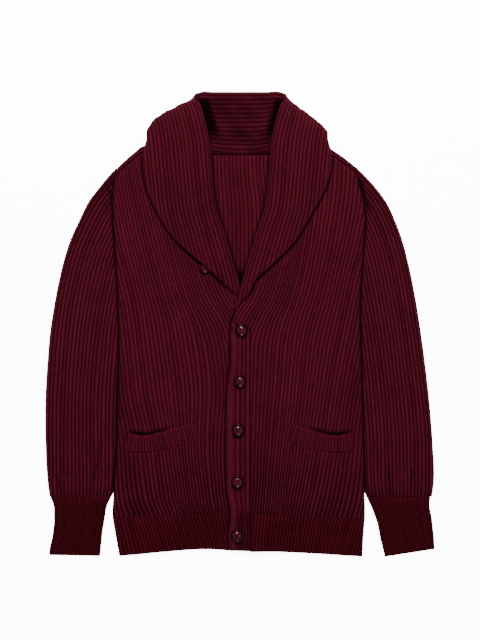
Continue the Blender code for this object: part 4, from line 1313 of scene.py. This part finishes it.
def make_collar(material):
    """One strip from lapel end to lapel end, with its ribs side by side from the roll outwards.

    A rib keeps its distance from the roll, so it ends where the fall or the stand is narrower.
    Ribs are raised along the normals of the face where it looks up, and the inner face lies a
    wall's thickness behind.
    """
    face, at = collar_face()
    normal = grid_normals(face)
    run = np.cumsum(np.linalg.norm(np.diff(face, axis=1), axis=2), axis=1)
    run = np.hstack([np.zeros((len(face), 1)), run])
    run = run - run[:, STAND_POINTS - 1 : STAND_POINTS]
    phases = spare_ribs(STAND_RIBS, FALL_RIBS, 0)
    reach = phases * np.where(phases < 0, STAND_RIB_PITCH, COLLAR_RIB_PITCH)
    spots = reach + waver(phases, at[:, None], 6) * smooth(0.5, 3, np.abs(phases))
    first = (spots < run[:, :1]).sum(axis=1) - 1
    last = len(phases) - (spots > run[:, -1:]).sum(axis=1)
    spots = np.clip(spots, run[:, :1], run[:, -1:])

    def spread(field):
        return np.array([np.interp(spot, way, part) for spot, way, part in zip(spots, run, field)])

    base = np.stack([spread(face[..., k]) for k in range(3)], axis=-1)
    lean = np.stack([spread(normal[..., k]) for k in range(3)], axis=-1)
    lean = lean / np.linalg.norm(lean, axis=-1, keepdims=True)
    phase = np.broadcast_to(phases, spots.shape).copy()
    rows = np.arange(len(face))
    for end, inward in ((first, 1), (last, -1)):
        gone = np.abs(reach[end] - reach[end + inward])
        kept = np.abs(spots[rows, end] - spots[rows, end + inward])
        share = np.clip(kept / gone, 0, 1)
        phase[rows, end] += (1 - share) * (phases[end + inward] - phases[end])

    to_edge, to_seam = run[:, -1:] - spots, spots - run[:, :1]
    looks_up = smooth(0.55, 0.93, lean[..., 2])
    relief = (RELIEF + 0.2) * np.where(phase < 0, 0.7, 1.0)
    rib = relief * rib_profile(phase) * rib_gain(phase, 3) * looks_up * smooth(2.0, 6.5, to_edge)
    roll_over = 0.9 * bump(to_edge, 3.2, 2.4) * looks_up
    edge = rounded(to_edge + 0.1, 2.6) * rounded(to_seam + 0.2, 2.0)
    rise = -1.3 * (1 - edge) + (rib - 0.3 + roll_over) * edge
    outer = base + lean * rise[..., None]
    outer[..., 2] = np.maximum(outer[..., 2], 0.3)
    pick, rows = picked(first, last, 29), rows[:, None]
    inner = (base - lean * COLLAR_WALL)[rows, pick]
    inner[..., 2] = np.maximum(inner[..., 2], 0.0)
    points, faces = wall(outer, inner, pick, cut_columns(first, last, len(phases)))
    along = np.repeat(at[:, None], len(phases), axis=1)
    wales = wale_map(phase, along, phase[rows, pick], along[rows, pick])
    # painted shade on the stand and the fall
    shade = collar_shade(spots, base)
    node = "shawl_collar"
    piece = add_mesh(node + "_knit", node, points, faces, wales, material, shade)
    widths, beneath = run[:, -1] - run[:, 0], ("back", "front_left", "front_right")
    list(beneath)


# ---------------------------------------------------------- pockets, buttons


def make_welt(name, side, material):
    """A ribbed strip laid on the front below the pocket mouth.

    Its ribs stand square to its own run: each point moves sideways by the slope of the strip
    times its height above the strip's middle line.
    """
    phases = rib_columns(WELT_RIBS)
    reach = WELT_ENDS[0] + phases / WELT_RIBS * (WELT_ENDS[1] - WELT_ENDS[0])
    top, foot = welt_edges(reach)
    middle = (top + foot) / 2
    share = soft_steps(18)[:, None]
    height = foot + share * (top - foot)
    u = reach - 0.8 * np.gradient(middle, reach) * (height - middle)
    stand_off = 2.0 * smooth(0.1, 1.0, share) * smooth(-1, 4, WELT_RIBS - phases)
    under = front_lift(side * u, height, side) + VALLEY + 0.2 + stand_off
    edge = rounded(height - foot + 0.1, 4.5) * rounded(top - height + 0.1, 2.0)
    edge = edge * rounded(np.minimum(phases, WELT_RIBS - phases) * 5 + 0.1, 5.0)
    rib = 1.5 + 0.55 * RELIEF * rib_profile(phases) * smooth(1.0, 0.88, share)
    rib = rib - 0.6 * bump(height - foot, 4.2, 0.9)
    grid = (side * u, height, under + LIP + (rib - LIP) * edge)
    piece = add_panel(name, material, grid, under, phases, every(8, len(phases)))


def make_button(name, place, floor, size, turn, material):
    """A turned disc: the half section swept round its axis, with four holes sunk in its dish."""
    profile = np.array(BUTTON_PROFILE)
    run = path_run(profile)
    slope = np.gradient(profile, run, axis=0)
    slope[0] = slope[1] = (1, 0)
    slope[-1] = (-1, 0)
    at = np.append(np.linspace(0, BACK_FACE, 4), np.linspace(BACK_FACE + 0.5, run[-1], 44))
    section = hermite(run, profile, slope, at)
    section[0, 0] = section[-1, 0] = 0.0
    angle = np.linspace(0, 2 * np.pi, 72, endpoint=False)
    x, y = section[:, :1] * np.cos(angle), section[:, :1] * np.sin(angle)
    z = np.repeat(section[:, 1:], len(angle), axis=1)
    face_side = np.arange(len(section))[:, None] > len(section) * 0.45
    for k in range(4):
        spot = turn + np.pi / 4 + k * np.pi / 2
        away = np.hypot(x - HOLE_REACH * np.cos(spot), y - HOLE_REACH * np.sin(spot))
        hole = 1 - smooth(HOLE_RADIUS * 0.75, HOLE_RADIUS * 1.15, away)
        z = z - HOLE_DEPTH * hole * face_side
    points = np.stack([x, y, z], axis=-1) * size + np.array([place[0], place[1], floor])
    index = np.arange(z.size).reshape(z.shape)
    index[0], index[-1] = index[0, 0], index[-1, 0]
    faces = proper(grid_triangles(np.hstack([index, index[:, :1]]), False))
    points, wales = points.reshape(-1, 3), np.zeros((z.size, 2))
    # painted shade on the rim, which the horn material reads to darken it
    rim = smooth(*BUTTON_RIM, np.hypot(x, y))
    add_mesh(name + "_disc", name, points, faces, wales, material, rim)


# ------------------------------------------------------------------ materials


# Wool: linear colour of the yarn, of the painted shade in the grooves, length of a stitch.
WIDE_RIB = ((0.0212, 0.0018, 0.0048, 1), (0.0148, 0.0, 0.0006, 1), 4.2)
FINE_RIB = ((0.0245, 0.0015, 0.0040, 1), (0.0112, 0.0, 0.0002, 1), 3.4)


def fill(tree, node, values):
    """Links or sets a node's inputs."""
    for key, value in values.items():
        if isinstance(value, bpy.types.NodeSocket):
            tree.links.new(value, node.inputs[key])
        else:
            node.inputs[key].default_value = value


def add_node(tree, kind, inputs=None, **properties):
    """A node with its plain properties set and its inputs linked or set."""
    node = tree.nodes.new(kind)
    for key, value in properties.items():
        setattr(node, key, value)
    fill(tree, node, inputs or {})
    return node


def maths(tree, operation, first, second=0.0, third=0.0):
    """The result of one sum on sockets or numbers."""
    inputs = {0: first, 1: second, 2: third}
    return add_node(tree, "ShaderNodeMath", inputs, operation=operation).outputs[0]


def noise(tree, place, scale, detail=2.0, distortion=0.0):
    """Soft noise between 0 and 1 at a place."""
    inputs = {"Vector": place, "Scale": scale, "Detail": detail, "Distortion": distortion}
    return add_node(tree, "ShaderNodeTexNoise", inputs).outputs["Fac"]


def dimmed(tree, colour, factor):
    """A colour times a factor."""
    inputs = {0: colour, "Scale": factor}
    return add_node(tree, "ShaderNodeVectorMath", inputs, operation="SCALE").outputs[0]


def painted_shade_input(tree):
    """The painted shade of a point, from the mesh."""
    return add_node(tree, "ShaderNodeAttribute", attribute_name="painted_shade").outputs["Fac"]


def rib_knit_group():
    """Rib knit on the wale map.

    Across a rib the colour passes from the yarn to the darker groove colour, which is painted
    shade, and it is darkened further by the painted shade that the mesh carries. Along it, stitches
    are a wave whose phase grows with the distance from the rib's middle, so that each makes a V.
    Slow and fine noise give the dye and the wool their unevenness.
    """
    group = bpy.data.node_groups.new("rib knit", "ShaderNodeTree")

    def sums(operation, first, second=0.0):
        return maths(group, operation, first, second)

    def scaled(value, factor, more):
        return maths(group, "MULTIPLY_ADD", value, factor, more)

    def centred(value):
        return sums("SUBTRACT", value, 0.5)

    for name, kind, way in (
        ("Yarn", "NodeSocketColor", "INPUT"),
        ("Groove shade", "NodeSocketColor", "INPUT"),
        ("Stitch", "NodeSocketFloat", "INPUT"),
        ("Unevenness", "NodeSocketFloat", "INPUT"),
        ("Colour", "NodeSocketColor", "OUTPUT"),
        ("Roughness", "NodeSocketFloat", "OUTPUT"),
        ("Height", "NodeSocketFloat", "OUTPUT"),
    ):
        group.interface.new_socket(name, in_out=way, socket_type=kind)
    ends = add_node(group, "NodeGroupInput").outputs
    wales = add_node(group, "ShaderNodeUVMap", uv_map="wales").outputs["UV"]
    number, along = add_node(group, "ShaderNodeSeparateXYZ", {0: wales}).outputs[:2]
    place = add_node(group, "ShaderNodeTexCoord").outputs["Object"]

    across = sums("FRACT", number)
    crest = sums("MAXIMUM", sums("SINE", sums("MULTIPLY", across, math.pi)), 0.0)
    crest = sums("POWER", crest, 0.9)
    off = sums("ABSOLUTE", centred(across))
    rib = {"W": sums("FLOOR", number)}
    own = add_node(group, "ShaderNodeTexWhiteNoise", rib, noise_dimensions="1D").outputs["Value"]
    stitches = scaled(own, 0.35, sums("DIVIDE", along, ends["Stitch"]))
    turn = sums("MULTIPLY", scaled(off, 1.5, stitches), 2 * math.pi)
    stitch = scaled(sums("SINE", turn), 0.5, 0.5)

    patch = {0: number, 1: sums("MULTIPLY", along, 0.045)}
    patch = noise(group, add_node(group, "ShaderNodeCombineXYZ", patch).outputs[0], 1.3)
    fibre = noise(group, place, 1900.0)
    uneven = scaled(centred(own), 0.5, centred(patch))
    uneven = scaled(centred(noise(group, place, 22.0, 3.0)), 0.8, uneven)
    uneven = scaled(centred(noise(group, place, 420.0)), 1.9, uneven)
    # painted shade from the mesh darkens the colour
    shade = scaled(painted_shade_input(group), -0.92, 1.0)
    light = sums("MULTIPLY", scaled(uneven, ends["Unevenness"], 1.0), shade)
    light = sums("MULTIPLY", scaled(stitch, 0.36, 0.77), light)

    # painted shade in the grooves: the yarn's colour gives way to the darker groove colour
    colours = {"Factor": crest, 6: ends["Groove shade"], 7: ends["Yarn"]}
    wool = add_node(group, "ShaderNodeMix", colours, data_type="RGBA").outputs[2]
    results = {
        "Colour": dimmed(group, wool, light),
        "Roughness": scaled(fibre, 0.15, 0.78),
        "Height": scaled(fibre, 0.35, sums("MULTIPLY", stitch, crest)),
    }
    add_node(group, "NodeGroupOutput", results)
    return group


def new_material(name):
    """An empty material, with its tree and its shader."""
    material = bpy.data.materials.new(name)
    material.use_nodes = True
    return material, material.node_tree, material.node_tree.nodes["Principled BSDF"]


def knit_material(name, group, yarn, groove, stitch):
    """Wool in a rib stitch: matt, with a soft sheen at grazing angles."""
    material, tree, shader = new_material(name)
    # the groove colour is the painted shade in the grooves
    inputs = {"Yarn": yarn, "Groove shade": groove, "Stitch": stitch, "Unevenness": 0.6}
    knit = add_node(tree, "ShaderNodeGroup", inputs, node_tree=group).outputs
    relief = {"Height": knit["Height"], "Strength": 0.6, "Distance": 0.0006}
    looks = {
        "Base Color": knit["Colour"],
        "Roughness": knit["Roughness"],
        "Normal": add_node(tree, "ShaderNodeBump", relief).outputs["Normal"],
        "Sheen Weight": 0.004,
        "Sheen Roughness": 0.45,
        "Sheen Tint": (0.80, 0.15, 0.30, 1),
        "Specular IOR Level": 0.01,
    }
    fill(tree, shader, looks)
    material.diffuse_color = yarn
    return material


def button_material():
    """Polished horn: dark red-brown with paler drifts, glossy, uneven in its shine and duller on
    the rim, where painted shade darkens it."""
    material, tree, shader = new_material("button_horn")
    place = add_node(tree, "ShaderNodeTexCoord").outputs["Object"]
    drift = noise(tree, place, 160.0, 5.0, 1.6)
    ramp = add_node(tree, "ShaderNodeValToRGB", {"Fac": drift})
    dark, pale = ramp.color_ramp.elements
    dark.position, dark.color = 0.30, (0.007, 0.0004, 0.0010, 1)
    pale.position, pale.color = 0.70, (0.028, 0.0014, 0.0036, 1)
    # painted shade on the rim darkens its colour
    rim = painted_shade_input(tree)
    dim = maths(tree, "MULTIPLY_ADD", rim, -0.9, 1.0)
    looks = {
        "Base Color": dimmed(tree, ramp.outputs["Color"], dim),
        "Roughness": maths(tree, "MULTIPLY_ADD", noise(tree, place, 900.0, 3.0), 0.14, 0.14),
        "Specular IOR Level": 0.06,
        "Specular Tint": (1.0, 0.25, 0.40, 1),
        "Coat Weight": maths(tree, "MULTIPLY_ADD", rim, -0.05, 0.08),
        "Coat Roughness": 0.16,
        "Coat Tint": (1.0, 0.62, 0.72, 1),
    }
    fill(tree, shader, looks)
    material.diffuse_color = (0.04, 0.01, 0.01, 1)
    return material


# ---------------------------------------------------------------------- stage


VIEW_MIDDLE = (0.00003, 0.0073)  # X and Y of the middle of what the camera sees, in metres
VIEW_LENGTH = 1.12
CAMERA_HEIGHT = 5.0
FLOOR_HALF = 4.0

# Lamps: name, place in metres, size, power.
LAMPS = (
    ("key", (-0.15, 1.68, 1.9), 0.7, 238.0),
    ("fill", (1.6, -1.2, 2.2), 2.0, 30.0),
)


def make_floor():
    """A pale floor that glows a little, so that it is evenly bright."""
    material, tree, shader = new_material("pale_floor")
    glow = {"Emission Color": (1, 1, 1, 1), "Emission Strength": 9.0}
    fill(tree, shader, {"Base Color": (0.9, 0.9, 0.9, 1), "Roughness": 0.9, **glow})
    mesh = bpy.data.meshes.new("floor")
    corners = ((-1, -1), (1, -1), (1, 1), (-1, 1))
    mesh.from_pydata([(FLOOR_HALF * x, FLOOR_HALF * y, 0) for x, y in corners], [], [(0, 1, 2, 3)])
    mesh.materials.append(material)
    ground = add_object("floor", mesh)


def make_stage():
    """The floor, a large soft light from above left, a fill and the camera overhead."""
    make_floor()
    world = bpy.data.worlds.new("studio")
    world.use_nodes = True
    fill(world.node_tree, world.node_tree.nodes["Background"], {0: (1, 1, 1, 1), 1: 1.5})
    bpy.context.scene.world = world
    for name, spot, size, power in LAMPS:
        lamp = bpy.data.lights.new(name, "AREA")
        lamp.shape, lamp.size, lamp.energy = "DISK", size, power
        x, y, z = spot
        to_middle = (math.atan2(math.hypot(x, y), z), 0, math.atan2(-x, y) + math.pi)
        add_object(name, lamp, spot).rotation_euler = to_middle
    lens = bpy.data.cameras.new("camera")
    lens.lens = 36 * CAMERA_HEIGHT / VIEW_LENGTH
    lens.clip_end = 50
    camera = add_object("camera", lens, (*VIEW_MIDDLE, CAMERA_HEIGHT))
    bpy.context.scene.camera = camera


def main():
    """Every piece of the garment, then the stage."""
    group = rib_knit_group()
    knit = knit_material("wool_rib", group, *WIDE_RIB)
    trim = knit_material("wool_trim", group, *FINE_RIB)
    horn = button_material()
    make_back(knit)
    make_back_hem(trim)
    for word, side in (("right", -1), ("left", 1)):
        make_front("front_" + word, side, knit)
        make_front_hem("hem_" + word, side, trim)
        make_sleeve("sleeve_" + word, side, knit)
        make_cuff("cuff_" + word, side, trim)
        make_welt("pocket_welt_" + word, side, knit)
    make_upper_band(knit)
    make_under_band(knit)
    make_collar(knit)
    band_face = TOP_BAND_LIFT + VALLEY + RELIEF + GAP
    for number, place in enumerate(BAND_BUTTONS, 1):
        make_button("button_%d" % number, place, band_face, 1.0, 0.3 * number, horn)
    front_face = FRONT_LIFT + VALLEY + RELIEF + GAP
    make_button("button_lapel", LAPEL_BUTTON, front_face, LAPEL_BUTTON_SIZE, 0.2, horn)
    make_stage()


main()
